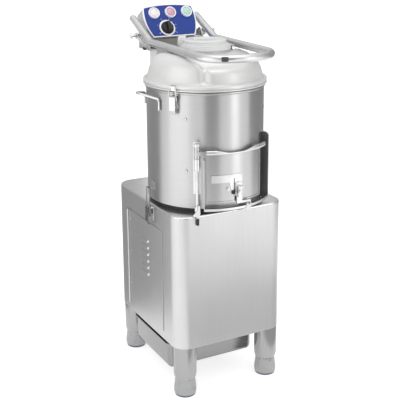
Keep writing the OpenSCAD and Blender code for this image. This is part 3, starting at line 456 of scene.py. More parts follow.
@dataclass(frozen=True)
class BrushedSteel:
    """Stainless sheet with a brushed grain, faint clouding and handling marks."""

    name: str
    tone: float = 0.62
    rough: float = 0.3
    grain: Grain = Grain.LEVEL
    stretch: float = 0.0
    depth: float = 0.00004

    def material(self) -> bpy.types.Material:
        """Builds the material."""
        p = Paint(self.name)
        lines = p.noise(p.spread(self.grain.value), 1.0, 2.0, 0.6)
        cloud = p.noise(p.where, 7.0, 3.0)
        smear = p.noise(p.spread((14.0, 14.0, 5.0)), 1.0, 4.0, 0.65)
        scuffs = p.noise(p.spread(self.grain.value), 0.13, 5.0, 0.75).above(0.66, 0.05)
        tone = lines * 0.14 + cloud * 0.10 + 0.88
        base = p.blend(tone.above(0.95, 0.16), grey(self.tone * 0.84, (1.0, 1.0, 1.015)),
                       grey(self.tone * 1.08))
        p.set(Base_Color=base, Metallic=1.0, Anisotropic=self.stretch,
              Roughness=lines * 0.10 + smear * 0.12 + scuffs * 0.10 + (self.rough - 0.09))
        if self.stretch:
            p.set(Anisotropic_Rotation=0.25)
        p.set(Normal=p.bump(lines, 0.5, self.depth))
        return p.material


@dataclass(frozen=True)
class PolishedSteel:
    """Polished fittings and tube, with fine swirls and dulled spots."""

    name: str
    tone: float = 0.75
    rough: float = 0.16

    def material(self) -> bpy.types.Material:
        """Builds the material."""
        p = Paint(self.name)
        swirl = p.noise(p.where, 420.0, 4.0, 0.6)
        dull = p.noise(p.where, 30.0, 3.0).above(0.58, 0.12)
        base = p.blend(dull, grey(self.tone), grey(self.tone * 0.9, (1.0, 0.995, 0.985)))
        p.set(Base_Color=base, Metallic=1.0,
              Roughness=swirl * 0.06 + dull * 0.08 + (self.rough - 0.04),
              Normal=p.bump(swirl, 0.15, 0.00002))
        return p.material


@dataclass(frozen=True)
class Moulding:
    """A moulded plastic with a fine texture, a sheen and slight shade changes."""

    name: str
    colour: Point
    rough: float = 0.42
    texture: float = 0.00003
    glow: float = 0.0
    coat: float = 0.0
    worn: float = 0.06
    metal: float = 0.0

    def material(self) -> bpy.types.Material:
        """Builds the material."""
        p = Paint(self.name)
        grain = p.noise(p.where, 1400.0, 2.0)
        flow = p.noise(p.where, 9.0, 3.0)
        rubbed = p.noise(p.where, 60.0, 5.0, 0.7).above(0.6, 0.1)
        full = tuple(self.colour) + (1.0,)
        deep = tuple(c * (1 - self.worn) for c in self.colour) + (1.0,)
        p.set(Base_Color=p.blend(flow.above(0.5, 0.3), deep, full),
              Roughness=flow * 0.05 + rubbed * 0.05 + (self.rough - 0.05),
              Normal=p.bump(grain, 0.35, self.texture))
        if self.coat:
            p.set(Coat_Weight=self.coat, Coat_Roughness=0.12)
        if self.metal:
            p.set(Metallic=self.metal)
        if self.glow:
            p.set(Subsurface_Weight=self.glow, Subsurface_Radius=(0.01, 0.01, 0.01),
                  Subsurface_Scale=0.35)
        return p.material


@dataclass(frozen=True)
class Rubber:
    """Moulded rubber, matt, with dust in its pores."""

    name: str
    tone: float = 0.035

    def material(self) -> bpy.types.Material:
        """Builds the material."""
        p = Paint(self.name)
        pores = p.noise(p.where, 800.0, 3.0)
        dust = p.noise(p.where, 22.0, 4.0, 0.6).above(0.57, 0.12)
        p.set(Base_Color=p.blend(dust, grey(self.tone), grey(self.tone * 2.2)),
              Roughness=dust * 0.12 + 0.62, Normal=p.bump(pores, 0.4, 0.00008))
        return p.material


@dataclass(frozen=True)
class Grit:
    """Abrasive grains bonded in dark resin."""

    name: str

    def material(self) -> bpy.types.Material:
        """Builds the material."""
        p = Paint(self.name)
        grains = p.node("ShaderNodeTexVoronoi", {}, {"Vector": p.where, "Scale": 700.0})
        size = p.noise(p.where, 240.0, 3.0)
        p.set(Base_Color=p.blend(grains.above(0.42, 0.2), grey(0.30, (1.0, 0.97, 0.92)),
                                 grey(0.06)),
              Roughness=size * 0.2 + 0.6, Normal=p.bump(grains * -1.0, 0.9, 0.0006))
        return p.material


@dataclass(frozen=True)
class TurnedMetal:
    """Metal with tool marks from the lathe, or the skin of a casting."""

    name: str
    tone: float = 0.5
    rough: float = 0.3
    cast: bool = False

    def material(self) -> bpy.types.Material:
        """Builds the material."""
        p = Paint(self.name)
        skin = p.noise(p.where, 260.0 if self.cast else 60.0, 4.0)
        lines = p.noise(p.spread((3.0, 3.0, 1500.0)), 1.0, 1.0)
        mark = skin if self.cast else lines
        p.set(Base_Color=p.blend(skin.above(0.5, 0.25), grey(self.tone * 0.85),
                                 grey(self.tone, (1.0, 0.995, 0.98))),
              Metallic=0.9 if self.cast else 1.0, Roughness=mark * 0.18 + self.rough,
              Normal=p.bump(mark, 0.4, 0.0002 if self.cast else 0.00005))
        return p.material


@dataclass(frozen=True)
class Enamel:
    """Enamel over cast iron, with an orange-peel skin and grime."""

    name: str
    colour: Point

    def material(self) -> bpy.types.Material:
        """Builds the material."""
        p = Paint(self.name)
        peel = p.noise(p.where, 300.0, 2.0)
        grime = p.noise(p.where, 18.0, 5.0, 0.65).above(0.55, 0.1)
        full = tuple(self.colour) + (1.0,)
        p.set(Base_Color=p.blend(grime, full, grey(0.05)), Roughness=grime * 0.3 + 0.3,
              Normal=p.bump(peel, 0.3, 0.0001))
        return p.material


@dataclass(frozen=True)
class FootMetal:
    """The foot's pale satin casing, which turns into its dark sole near the floor."""

    name: str
    sole: float = 0.0052

    def material(self) -> bpy.types.Material:
        """Builds the material."""
        p = Paint(self.name)
        height = p.coordinate("Z")
        casing = height.above(self.sole, 0.0012)
        lines = p.noise(p.spread((300.0, 300.0, 20.0)), 1.0, 2.0)
        scuff = p.noise(p.where, 70.0, 5.0, 0.7).above(0.6, 0.08)
        metal = p.blend(scuff, grey(0.34), grey(0.28))
        p.set(Base_Color=p.blend(casing, (0.07, 0.09, 0.15, 1), metal), Metallic=casing * 0.85,
              Roughness=lines * 0.12 + scuff * 0.10 + 0.16, Normal=p.bump(lines, 0.3, 0.00005))
        return p.material


class Look(Enum):
    """Every finish on the object."""

    DRUM = BrushedSteel("drum_steel", 0.49, 0.32, Grain.LEVEL, 0.75)
    # Near-black steel for the barrel's floor and support ring: painted shade that stands for the
    # dark gap under the barrel.
    UNDER = BrushedSteel("under_steel", 0.05, 0.5, Grain.LEVEL)
    SHADE = BrushedSteel("shaded_steel", 0.11, 0.4, Grain.UPRIGHT)
    SHEET = BrushedSteel("pedestal_steel", 0.57, 0.38, Grain.UPRIGHT)
    DECK = BrushedSteel("deck_steel", 0.80, 0.27, Grain.CROSSWAYS)
    DOOR = BrushedSteel("outlet_steel", 0.52, 0.30, Grain.LEVEL, 0.75)
    TRAY = BrushedSteel("tray_steel", 0.28, 0.2, Grain.CROSSWAYS)
    STRIP = BrushedSteel("strip_steel", 0.58, 0.26, Grain.UPRIGHT)
    LEG = BrushedSteel("leg_steel", 0.355, 0.24, Grain.UPRIGHT)
    BRIGHT = PolishedSteel("bright_steel", 0.66)
    # A dark copy of the bright latch steel for the base latches: painted shade.
    LATCH = PolishedSteel("latch_steel", 0.22, 0.2)
    SATIN = PolishedSteel("satin_steel", 0.72, 0.36)
    TUBE = PolishedSteel("tube_steel", 0.64, 0.34)
    HOOD = Moulding("hood_plastic", (0.66, 0.66, 0.655), 0.34, 0.000004, worn=0.02,
                    metal=0.28)
    POST = Moulding("post_paint", (0.66, 0.66, 0.66), 0.45, 0.00002)
    # Dark grey for the apron under the control head: painted shade.
    APRON = Moulding("apron_paint", (0.21, 0.215, 0.195), 0.4, 0.00002)
    LID = Moulding("lid_plastic", (0.66, 0.67, 0.66), 0.26, 0.00002, glow=0.25)
    WHITE = Moulding("white_plastic", (0.86, 0.86, 0.87), 0.25, 0.00001)
    GREY = Moulding("grey_plastic", (0.46, 0.465, 0.47), 0.45, 0.00006)
    BLUE = Moulding("blue_panel", (0.002, 0.035, 0.27), 0.6, 0.00001, worn=0.12)
    BLACK = Moulding("black_plastic", (0.012, 0.012, 0.013), 0.5, 0.00005, worn=0.3)
    LAMP = Moulding("lamp_cap", (0.80, 0.75, 0.76), 0.2, 0.00001, glow=0.5, coat=0.5)
    STOP = Moulding("stop_cap", (0.60, 0.34, 0.43), 0.2, 0.00001, glow=0.25, coat=0.5)
    START = Moulding("start_cap", (0.42, 0.64, 0.56), 0.2, 0.00001, glow=0.25, coat=0.5)
    RUBBER = Rubber("rubber")
    GRIT = Grit("grit")
    TURNED = TurnedMetal("turned_steel")
    CAST = TurnedMetal("cast_metal", 0.42, 0.4, True)
    ENAMEL = Enamel("motor_enamel", (0.05, 0.09, 0.16))
    FOOT = FootMetal("foot_metal")


class Workshop:
    """Cuts pieces loose from their stock, dresses them and keeps the list."""

    def __init__(self) -> None:
        """Starts with an empty list and no materials made."""
        self.done: list[Finished] = []
        self._materials: dict[Look, bpy.types.Material] = {}

    def look(self, look: Look) -> bpy.types.Material:
        """The material for a finish, made once."""
        if look not in self._materials:
            self._materials[look] = look.value.material()
        return self._materials[look]

    def dress(self, look: Look, *nodes: str) -> None:
        """Gives CAD nodes that stay in view a finish."""
        for name in nodes:
            thing = frame["nodes"][name]
            thing.data.materials.clear()
            thing.data.materials.append(self.look(look))
            self.done.append(Finished(name, "its own", (), len(thing.data.polygons)))

    def cut(self, stock: Stock, name: str, body: str, slot: str, look: Look,
            nodes: Sequence[str] = (), edge: Edge = Edge.FINE, sharp: float = 32.0,
            wall: float = 0.0, keep: bool = False) -> bpy.types.Object:
        """Turns stock into a piece in the row frame.

        Args:
            stock: the shape.
            name: the piece's name.
            body: the body that it rides on.
            slot: the record's material slot; not used.
            look: its finish.
            nodes: CAD nodes that it stands for.
            edge: how its edges are finished.
            sharp: angle in degrees above which an edge stays sharp.
            wall: thickness in millimetres that an open skin gets inwards.
            keep: whether the faces already point outwards.

        Returns:
            The piece.
        """
        mesh = bpy.data.meshes.new(name)
        mesh.from_pydata([(v.x * MM, (v.y + SHIFT) * MM, v.z * MM) for v in stock.points], [],
                         stock.faces)
        work = bmesh.new()
        work.from_mesh(mesh)
        bmesh.ops.remove_doubles(work, verts=work.verts, dist=2e-6)
        bmesh.ops.dissolve_degenerate(work, edges=work.edges, dist=1e-6)
        if not keep:
            bmesh.ops.recalc_face_normals(work, faces=work.faces)
        self._mark(work, sharp)
        work.to_mesh(mesh)
        work.free()
        return self.finish(mesh, name, body, slot, look, nodes, edge, sharp, wall)

    def finish(self, mesh: bpy.types.Mesh, name: str, body: str, slot: str, look: Look,
               nodes: Sequence[str] = (), edge: Edge = Edge.FINE, sharp: float = 32.0,
               wall: float = 0.0) -> bpy.types.Object:
        """Makes an object of a mesh that is already in the row frame and dresses it."""
        piece = bpy.data.objects.new(name, mesh)
        bpy.context.collection.objects.link(piece)
        mesh.materials.clear()
        mesh.materials.append(self.look(look))
        if wall:
            solid = piece.modifiers.new("Wall", "SOLIDIFY")
            solid.thickness, solid.offset = wall * MM, -1.0
        if edge is not Edge.RAW:
            bevel = piece.modifiers.new("Edges", "BEVEL")
            bevel.width, bevel.segments = edge.value * MM, 2
            bevel.limit_method, bevel.angle_limit = "ANGLE", math.radians(sharp)
            bevel.harden_normals = False
        if nodes:
            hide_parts(*nodes)
        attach(piece, body)
        self.done.append(Finished(name, body, tuple(nodes), len(mesh.polygons)))
        return piece

    @staticmethod
    def _mark(work: bmesh.types.BMesh, sharp: float) -> None:
        """Shades faces smooth and keeps edges over an angle sharp."""
        for face in work.faces:
            face.smooth = True
        limit = math.radians(sharp)
        for edge in work.edges:
            edge.smooth = len(edge.link_faces) == 2 and edge.calc_face_angle(0.0) < limit

    def ease(self, node: str, body: str, slot: str, look: Look, edge: Edge = Edge.FINE,
             sharp: float = 25.0) -> bpy.types.Object:
        """Stands for a CAD node with a copy of its shape whose edges are eased.

        Args:
            node: the CAD node.
            body: the body that it rides on.
            slot: the record's material slot; not used.
            look: its finish.
            edge: how its edges are finished.
            sharp: angle in degrees above which an edge stays sharp.

        Returns:
            The piece.
        """
        mesh = frame["nodes"][node].data.copy()
        work = bmesh.new()
        work.from_mesh(mesh)
        bmesh.ops.remove_doubles(work, verts=work.verts, dist=1e-6)
        bmesh.ops.dissolve_limit(work, angle_limit=math.radians(0.3), verts=work.verts,
                                 edges=work.edges)
        self._mark(work, sharp)
        work.to_mesh(mesh)
        work.free()
        return self.finish(mesh, node + "_eased", body, slot, look, (node,), edge, sharp)


class NodeTree:
    """A Geometry Nodes tree that is built in code, run once and turned into a plain mesh."""

    def __init__(self, name: str) -> None:
        """Args:
            name: the tree's name.
        """
        self.tree = bpy.data.node_groups.new(name, "GeometryNodeTree")
        self.tree.is_modifier = True
        self.ids: dict[str, str] = {}
        self.inlet = self.tree.nodes.new("NodeGroupInput")
        self.outlet = self.tree.nodes.new("NodeGroupOutput")
        self.tree.interface.new_socket(name="Result", in_out="OUTPUT",
                                       socket_type="NodeSocketGeometry")
        self.entry("Shape", "NodeSocketGeometry")

    def entry(self, name: str, kind: str) -> None:
        """Adds a named input."""
        made = self.tree.interface.new_socket(name=name, in_out="INPUT", socket_type=kind)
        self.ids[name] = made.identifier

    def add(self, kind: str, settings: dict, inputs: dict) -> bpy.types.Node:
        """Adds a node, with its settings and its inputs as values or links."""
        made = self.tree.nodes.new(kind)
        for key, value in settings.items():
            setattr(made, key, value)
        for key, value in inputs.items():
            if isinstance(value, bpy.types.NodeSocket):
                self.tree.links.new(value, made.inputs[key])
            else:
                made.inputs[key].default_value = value
        return made

    def end(self, geometry: bpy.types.NodeSocket) -> None:
        """Closes the tree with real meshes and a material."""
        real = self.add("GeometryNodeRealizeInstances", {}, {"Geometry": geometry})
        last = self.add("GeometryNodeSetMaterial", {},
                        {"Geometry": real.outputs[0], "Material": self.inlet.outputs["Finish"]})
        self.tree.links.new(last.outputs[0], self.outlet.inputs[0])

    def run(self, seed: bpy.types.ID, values: dict[str, object]) -> bpy.types.Mesh:
        """Runs the tree on a mesh or curve and returns a plain mesh.

        Args:
            seed: the mesh or curve that goes in.
            values: what each named input gets.

        Returns:
            The mesh that comes out.
        """
        carrier = bpy.data.objects.new(self.tree.name + "_carrier", seed)
        bpy.context.collection.objects.link(carrier)
        made = carrier.modifiers.new("Nodes", "NODES")
        made.node_group = self.tree
        for name, value in values.items():
            made[self.ids[name]] = value
        seen = carrier.evaluated_get(bpy.context.evaluated_depsgraph_get())
        mesh = bpy.data.meshes.new_from_object(seen)
        carrier.modifiers.remove(made)
        bpy.data.objects.remove(carrier)
        return mesh


class WireTree(NodeTree):
    """Sweeps a round wire along a drawn path."""

    def __init__(self) -> None:
        """Builds the tree."""
        super().__init__("round_wire")
        self.entry("Radius", "NodeSocketFloat")
        self.entry("Sides", "NodeSocketInt")
        self.entry("Finish", "NodeSocketMaterial")
        ring = self.add("GeometryNodeCurvePrimitiveCircle", {}, {
            "Resolution": self.inlet.outputs["Sides"], "Radius": self.inlet.outputs["Radius"]})
        swept = self.add("GeometryNodeCurveToMesh", {}, {
            "Curve": self.inlet.outputs["Shape"], "Profile Curve": ring.outputs[0],
            "Fill Caps": True})
        soft = self.add("GeometryNodeSetShadeSmooth", {}, {"Geometry": swept.outputs[0]})
        self.end(soft.outputs[0])

    def wires(self, paths: Sequence[Sequence[Point]], radius: float,
              finish: bpy.types.Material, sides: int = 18) -> bpy.types.Mesh:
        """Wires of one radius in millimetres along several paths."""
        curve = bpy.data.curves.new("wire_path", "CURVE")
        curve.dimensions = "3D"
        for path in paths:
            line = curve.splines.new("POLY")
            line.points.add(len(path) - 1)
            for spot, (x, y, z) in zip(line.points, path):
                spot.co = (x * MM, (y + SHIFT) * MM, z * MM, 1.0)
        return self.run(curve, {"Radius": radius * MM, "Sides": sides, "Finish": finish})


class PatternTree(NodeTree):
    """Sets copies of one small shape on marked spots, each with its own turn."""

    def __init__(self) -> None:
        """Builds the tree."""
        super().__init__("repeated_fitting")
        for name, kind in (("Fitting", "NodeSocketObject"), ("Loose turn", "NodeSocketFloat"),
                           ("Seed", "NodeSocketInt"), ("Finish", "NodeSocketMaterial")):
            self.entry(name, kind)
        fitting = self.add("GeometryNodeObjectInfo", {},
                           {"Object": self.inlet.outputs["Fitting"]})
        turn = self.add("GeometryNodeInputNamedAttribute", {"data_type": "FLOAT_VECTOR"},
                        {"Name": "turn"})
        spots = self.add("GeometryNodeInstanceOnPoints", {}, {
            "Points": self.inlet.outputs["Shape"], "Instance": fitting.outputs["Geometry"],
            "Rotation": turn.outputs[0]})
        loose = self.add("FunctionNodeRandomValue", {"data_type": "FLOAT"}, {
            "Seed": self.inlet.outputs["Seed"]})
        self.tree.links.new(self.inlet.outputs["Loose turn"], loose.inputs[3])
        about = self.add("ShaderNodeCombineXYZ", {}, {"Z": loose.outputs[1]})
        turned = self.add("GeometryNodeRotateInstances", {}, {
            "Instances": spots.outputs[0], "Rotation": about.outputs[0]})
        self.end(turned.outputs[0])

    def spread(self, fitting: Stock, places: Sequence[Matrix], finish: bpy.types.Material,
               loose: float = 0.0, seed: int = 3) -> bpy.types.Mesh:
        """Copies of a fitting, drawn about its own origin with z out, on places.

        Args:
            fitting: the shape, in millimetres.
            places: where each copy goes, in millimetres.
            finish: the material.
            loose: how far, in radians, a copy may be turned about its own z.
            seed: the random seed.

        Returns:
            The mesh, in the row frame.
        """
        shape = bpy.data.meshes.new("fitting")
        shape.from_pydata([tuple(v * MM) for v in fitting.points], [], fitting.faces)
        work = bmesh.new()
        work.from_mesh(shape)
        bmesh.ops.remove_doubles(work, verts=work.verts, dist=1e-6)
        bmesh.ops.recalc_face_normals(work, faces=work.faces)
        Workshop._mark(work, 32.0)
        work.to_mesh(shape)
        work.free()
        pattern = bpy.data.objects.new("fitting", shape)
        bpy.context.collection.objects.link(pattern)
        spots = bpy.data.meshes.new("spots")
        moved = Matrix.Translation((0, SHIFT, 0))
        spots.from_pydata([tuple((moved @ p).translation * MM) for p in places], [], [])
        turn = spots.attributes.new("turn", "FLOAT_VECTOR", "POINT")
        for spot, place in zip(turn.data, places):
            spot.vector = tuple(place.to_euler())
        mesh = self.run(spots, {"Fitting": pattern, "Loose turn": loose, "Seed": seed,
                                "Finish": finish})
        bpy.data.objects.remove(pattern)
        return mesh


@dataclass
class Tools:
    """What every maker of a sub-assembly works with."""

    shop: Workshop = field(default_factory=Workshop)
    wire: WireTree = field(default_factory=WireTree)
    pattern: PatternTree = field(default_factory=PatternTree)


def level(outline: Sequence[Flat], height: float) -> list[Point]:
    """An outline as a ring at one height."""
    return [(x, y, height) for x, y in outline]


def along(points: Sequence[Flat], count: int) -> list[Flat]:
    """A broken line, marked off into as many points at even steps of its length."""
    walk = [0.0]
    for a, b in zip(points, points[1:]):
        walk.append(walk[-1] + math.dist(a, b))
    out: list[Flat] = []
    for i in range(count):
        at = walk[-1] * i / (count - 1)
        k = max(j for j in range(len(points) - 1) if walk[j] <= at + 1e-9)
        t = (at - walk[k]) / (walk[k + 1] - walk[k])
        out.append(tuple(p + (q - p) * t for p, q in zip(points[k], points[k + 1])))
    return out


def on_left_wall(y: float, z: float, x: float = -SIDE_X) -> Matrix:
    """A place on the pedestal's left side: x to the front, y up, z outwards."""
    return Matrix(((0, 0, -1, x), (-1, 0, 0, y), (0, 1, 0, z), (0, 0, 0, 1)))


def screw_head(radius: float, height: float) -> Stock:
    """A low round head with a hexagon socket, standing on the origin."""
    rings = []
    for r, z, hexed in ((1.0, 0.0, 0), (1.0, 0.4, 0), (0.82, 0.85, 0), (0.56, 1.0, 0),
                        (0.5, 0.97, 1), (0.46, 0.35, 1)):
        ring = []
        for i in range(24):
            a = math.tau * i / 24
            flat = math.cos(math.pi / 6) / math.cos(a % (math.pi / 3) - math.pi / 6)
            reach = radius * r * (flat if hexed else 1.0)
            ring.append((reach * math.cos(a), reach * math.sin(a), height * z))
        rings.append(ring)
    return Stock().loft(rings)


@dataclass
class Pedestal:
    """The folded case with its deck, and what stays on it."""

    tools: Tools
    width: float = 294.0
    depth: float = 356.0
    corner: float = 37.0
    sheet: float = 2.0
    fold: float = 4.0
    hatch_y: float = 90.0
    hatch_low: float = 158.0
    hatch_high: float = 402.0
    turns: int = 12

    def outline(self, inset: float = 0.0) -> list[Flat]:
        """The case's outline drawn in by an inset, with points beside the hatch."""
        w, d, r = self.width / 2 - inset, self.depth / 2 - inset, self.corner - inset
        return (arc((w - r, d - r), r, 0, 90, self.turns)
                + arc((r - w, d - r), r, 90, 180, self.turns)
                + [(-w, self.hatch_y), (-w, -self.hatch_y)]
                + arc((r - w, r - d), r, 180, 270, self.turns)
                + arc((w - r, r - d), r, 270, 360, self.turns))

    def walls(self) -> Stock:
        """The four folded sides, with the hatch's opening in the left one."""
        hatch = frozenset({(2 * self.turns + 2, 1)})
        return Stock().walled(self.outline(), self.outline(self.sheet),
                              (BASE, self.hatch_low, self.hatch_high, DECK - self.fold), hatch)

    def deck(self) -> Stock:
        """The deck, whose edge rolls over into the sides."""
        low = DECK - self.fold
        rolled = [(self.fold * (1 - math.cos(a)), low + self.fold * math.sin(a))
                  for a in (math.pi / 2 * i / 6 for i in range(7))]
        rings = [level(self.outline(self.sheet), DECK - self.sheet),
                 level(self.outline(self.sheet), low)]
        rings += [level(self.outline(inset), z) for inset, z in rolled]
        return Stock().loft(rings)

    def build(self) -> None:
        """Makes the case and dresses what it holds."""
        shop = self.tools.shop
        shop.cut(self.walls(), "pedestal_sides", "base", "steel_sheet", Look.SHEET,
                 ("pedestal_shell",), Edge.EASED)
        shop.cut(self.deck(), "pedestal_deck", "base", "steel_sheet", Look.DECK)
        shop.dress(Look.SHEET, "base_plate")
        shop.ease("access_hinge", "base", "steel_bright", Look.SHEET)
        shop.ease("tray_runners", "base", "steel_bright", Look.STRIP)
        shop.ease("cable_gland", "base", "black_plastic", Look.BLACK, Edge.EASED)


@dataclass
class SideDoor:
    """The louvred door in the pedestal's left side."""

    tools: Tools
    face: float = -148.8
    sheet: float = 1.5
    span: float = 196.0
    low: float = 150.0
    high: float = 410.0
    count: int = 6
    first: float = 270.0
    pitch: float = 17.4
    reach: float = 3.7
    pin_x: float = -150.3
    pin_y: float = 101.4
    half_length: float = 21.0

    def panel(self) -> Stock:
        """The sheet, slotted behind each louvre, with its knuckles and straps."""
        middle = (self.low + self.high) / 2
        outline = [(x, y + middle) for x, y in rounded_outline(self.span, self.high - self.low,
                                                               3.0, 4)]
        slots = [[(-17.0, z), (19.0, z), (19.0, z + 3), (-17.0, z + 3)]
                 for z in (self.first + self.pitch * i for i in range(self.count))]
        stock = Stock()
        with stock.at(on_left_wall(0, 0, self.face + self.sheet)):
            stock.plate(outline, 0.0, self.sheet, slots)
        step = (self.high - self.low) / 5
        for i in (1, 3):
            z0, z1 = self.low + i * step + 0.2, self.low + (i + 1) * step - 0.2
            with stock.at(Matrix.Translation((self.pin_x, self.pin_y, 0))):
                stock.turned([(1.3, z0), (3.0, z0), (3.0, z1), (1.3, z1)], 40, closed=True)
            stock.block((self.face, 96.9, z0), (-147.3, 99.3, z1))
        return stock

    def louvre(self) -> Stock:
        """One pressed louvre, closed at its top and ends and open below."""
        rings = []
        for i in range(29):
            u = -self.half_length + 2 * self.half_length * i / 28
            end = math.sqrt(max(0.0, 1 - max(0.0, (abs(u) - 15.0) / 6.0) ** 2))
            face = [(u, 8.0 * t - 1.0, self.reach * end * math.cos(t * math.pi / 2) ** 0.7)
                    for t in (j / 8 for j in range(9))]
            rings.append(face + [(x, y, z - 1.1) for x, y, z in reversed(face)])
        return Stock().loft(rings)

    def build(self) -> None:
        """Makes the door, its louvres and its screws."""
        shop, pattern = self.tools.shop, self.tools.pattern
        shop.cut(self.panel(), "door_panel", "side_door", "steel_sheet", Look.SHEET,
                 ("access_door",), Edge.EASED)
        rows = [on_left_wall(-1, self.first + self.pitch * i, self.face)
                for i in range(self.count)]
        louvres = pattern.spread(self.louvre(), rows, shop.look(Look.SHEET))
        shop.finish(louvres, "door_louvres", "side_door", "steel_sheet", Look.SHEET)
        heads = [on_left_wall(90, z, self.face) for z in (210.0, 299.0, 385.0)]
        screws = pattern.spread(screw_head(3.0, 1.2), heads, shop.look(Look.BRIGHT), 1.0)
        shop.finish(screws, "door_screws", "side_door", "steel_bright", Look.BRIGHT,
                    edge=Edge.RAW)


@dataclass
class Legs:
    """The four leg tubes with their collars, and the fluted feet that screw into them."""

    tools: Tools
    x: float = 115.0
    y: float = 148.0
    radius: float = 28.3
    wall: float = 1.5
    foot_height: float = 47.0
    stem: float = 5.0
    flutes: int = 10
    flute_depth: float = 0.9

    def tubes(self) -> Stock:
        """All four tubes, each closed above and narrowed to its collar below."""
        r, low = self.radius, self.foot_height
        bore = self.stem + 0.2
        profile = [(bore, low), (r - 2.4, low), (r - 1.9, low + 1.2), (r, low + 11.0), (r, BASE),
                   (0.0, BASE), (0.0, BASE - 3.0), (r - self.wall, BASE - 3.0),
                   (r - self.wall, low + 34.0), (bore, low + 34.0)]
        stock = Stock()
        for sx, sy in ((-1, -1), (1, -1), (1, 1), (-1, 1)):
            with stock.at(Matrix.Translation((sx * self.x, sy * self.y, 0))):
                stock.turned(profile, 72, closed=True)
        return stock

    def foot(self, sx: int, sy: int) -> Stock:
        """One foot: sole, fluted casing and threaded stem."""
        top = self.foot_height - 0.3
        profile = [(0.0, 0.0), (24.6, 0.0), (25.6, 0.9), (25.8, 4.2), (26.6, 5.4), (27.6, 9.0),
                   (28.0, 14.0), (27.6, 20.0), (26.8, 26.0), (26.0, 32.0), (25.2, 38.0),
                   (24.8, 43.0), (24.0, top), (self.stem, top)]
        thread = [(self.stem - 0.35 * (i % 2), top + 1.0 * i) for i in range(1, 52)]
        stock = Stock()
        with stock.at(Matrix.Translation((sx * self.x, sy * self.y, 0))):
            rings = []
            for r, z in profile + thread + [(self.stem - 1.0, top + 53.0), (0.0, top + 53.0)]:
                hollow = self.flute_depth * smooth(7, 14, z) * (1 - smooth(34, 42, z))
                ring = []
                for i in range(120):
                    a = math.tau * i / 120
                    reach = r - hollow * (0.5 + 0.5 * math.cos(self.flutes * a)) ** 2
                    ring.append((reach * math.cos(a), reach * math.sin(a), z))
                rings.append(ring)
            stock.loft(rings, caps=False)
        return stock

    def build(self) -> None:
        """Makes the tubes and the feet, each foot on its own body."""
        shop = self.tools.shop
        shop.cut(self.tubes(), "legs", "base", "steel_bright", Look.LEG, ("leg_tubes",))
        for end, sy in (("front", -1), ("rear", 1)):
            for side, sx in (("left", -1), ("right", 1)):
                shop.cut(self.foot(sx, sy), f"foot_casing_{end}_{side}", f"{end}_{side}_foot",
                         "foot_plastic", Look.FOOT, (f"foot_{end}_{side}",), Edge.RAW)


@dataclass
class PeelTray:
    """The drawn pan that catches the peel, hung under the pedestal."""

    tools: Tools
    x: float = -18.0
    y: float = -4.0
    length: float = 246.0
    width: float = 216.0
    corner: float = 20.0
    low: float = 49.0
    high: float = 116.0

    def pan(self) -> Stock:
        """The pan, with a drawn bottom edge and a folded lip."""
        path = [(15.5, 50.5), (10.6, 52.0), (7.6, 56.0), (6.3, 62.0), (5.5, self.high - 0.8),
                (4.9, self.high), (0.6, self.high), (0.0, self.high - 0.6),
                (0.0, self.high - 3.6), (1.0, self.high - 4.0), (4.0, self.high - 4.0),
                (4.8, 61.0), (6.2, 54.6), (9.6, 50.4), (15.0, self.low)]
        rings = [level(rounded_outline(self.length - 2 * i, self.width - 2 * i,
                                       max(self.corner - i, 6.0), 10), z) for i, z in path]
        stock = Stock()
        with stock.at(Matrix.Translation((self.x, self.y, 0))):
            stock.loft(rings)
        return stock

    def build(self) -> None:
        """Makes the tray."""
        self.tools.shop.cut(self.pan(), "tray_pan", "tray", "steel_sheet", Look.TRAY,
                            ("peel_tray",))


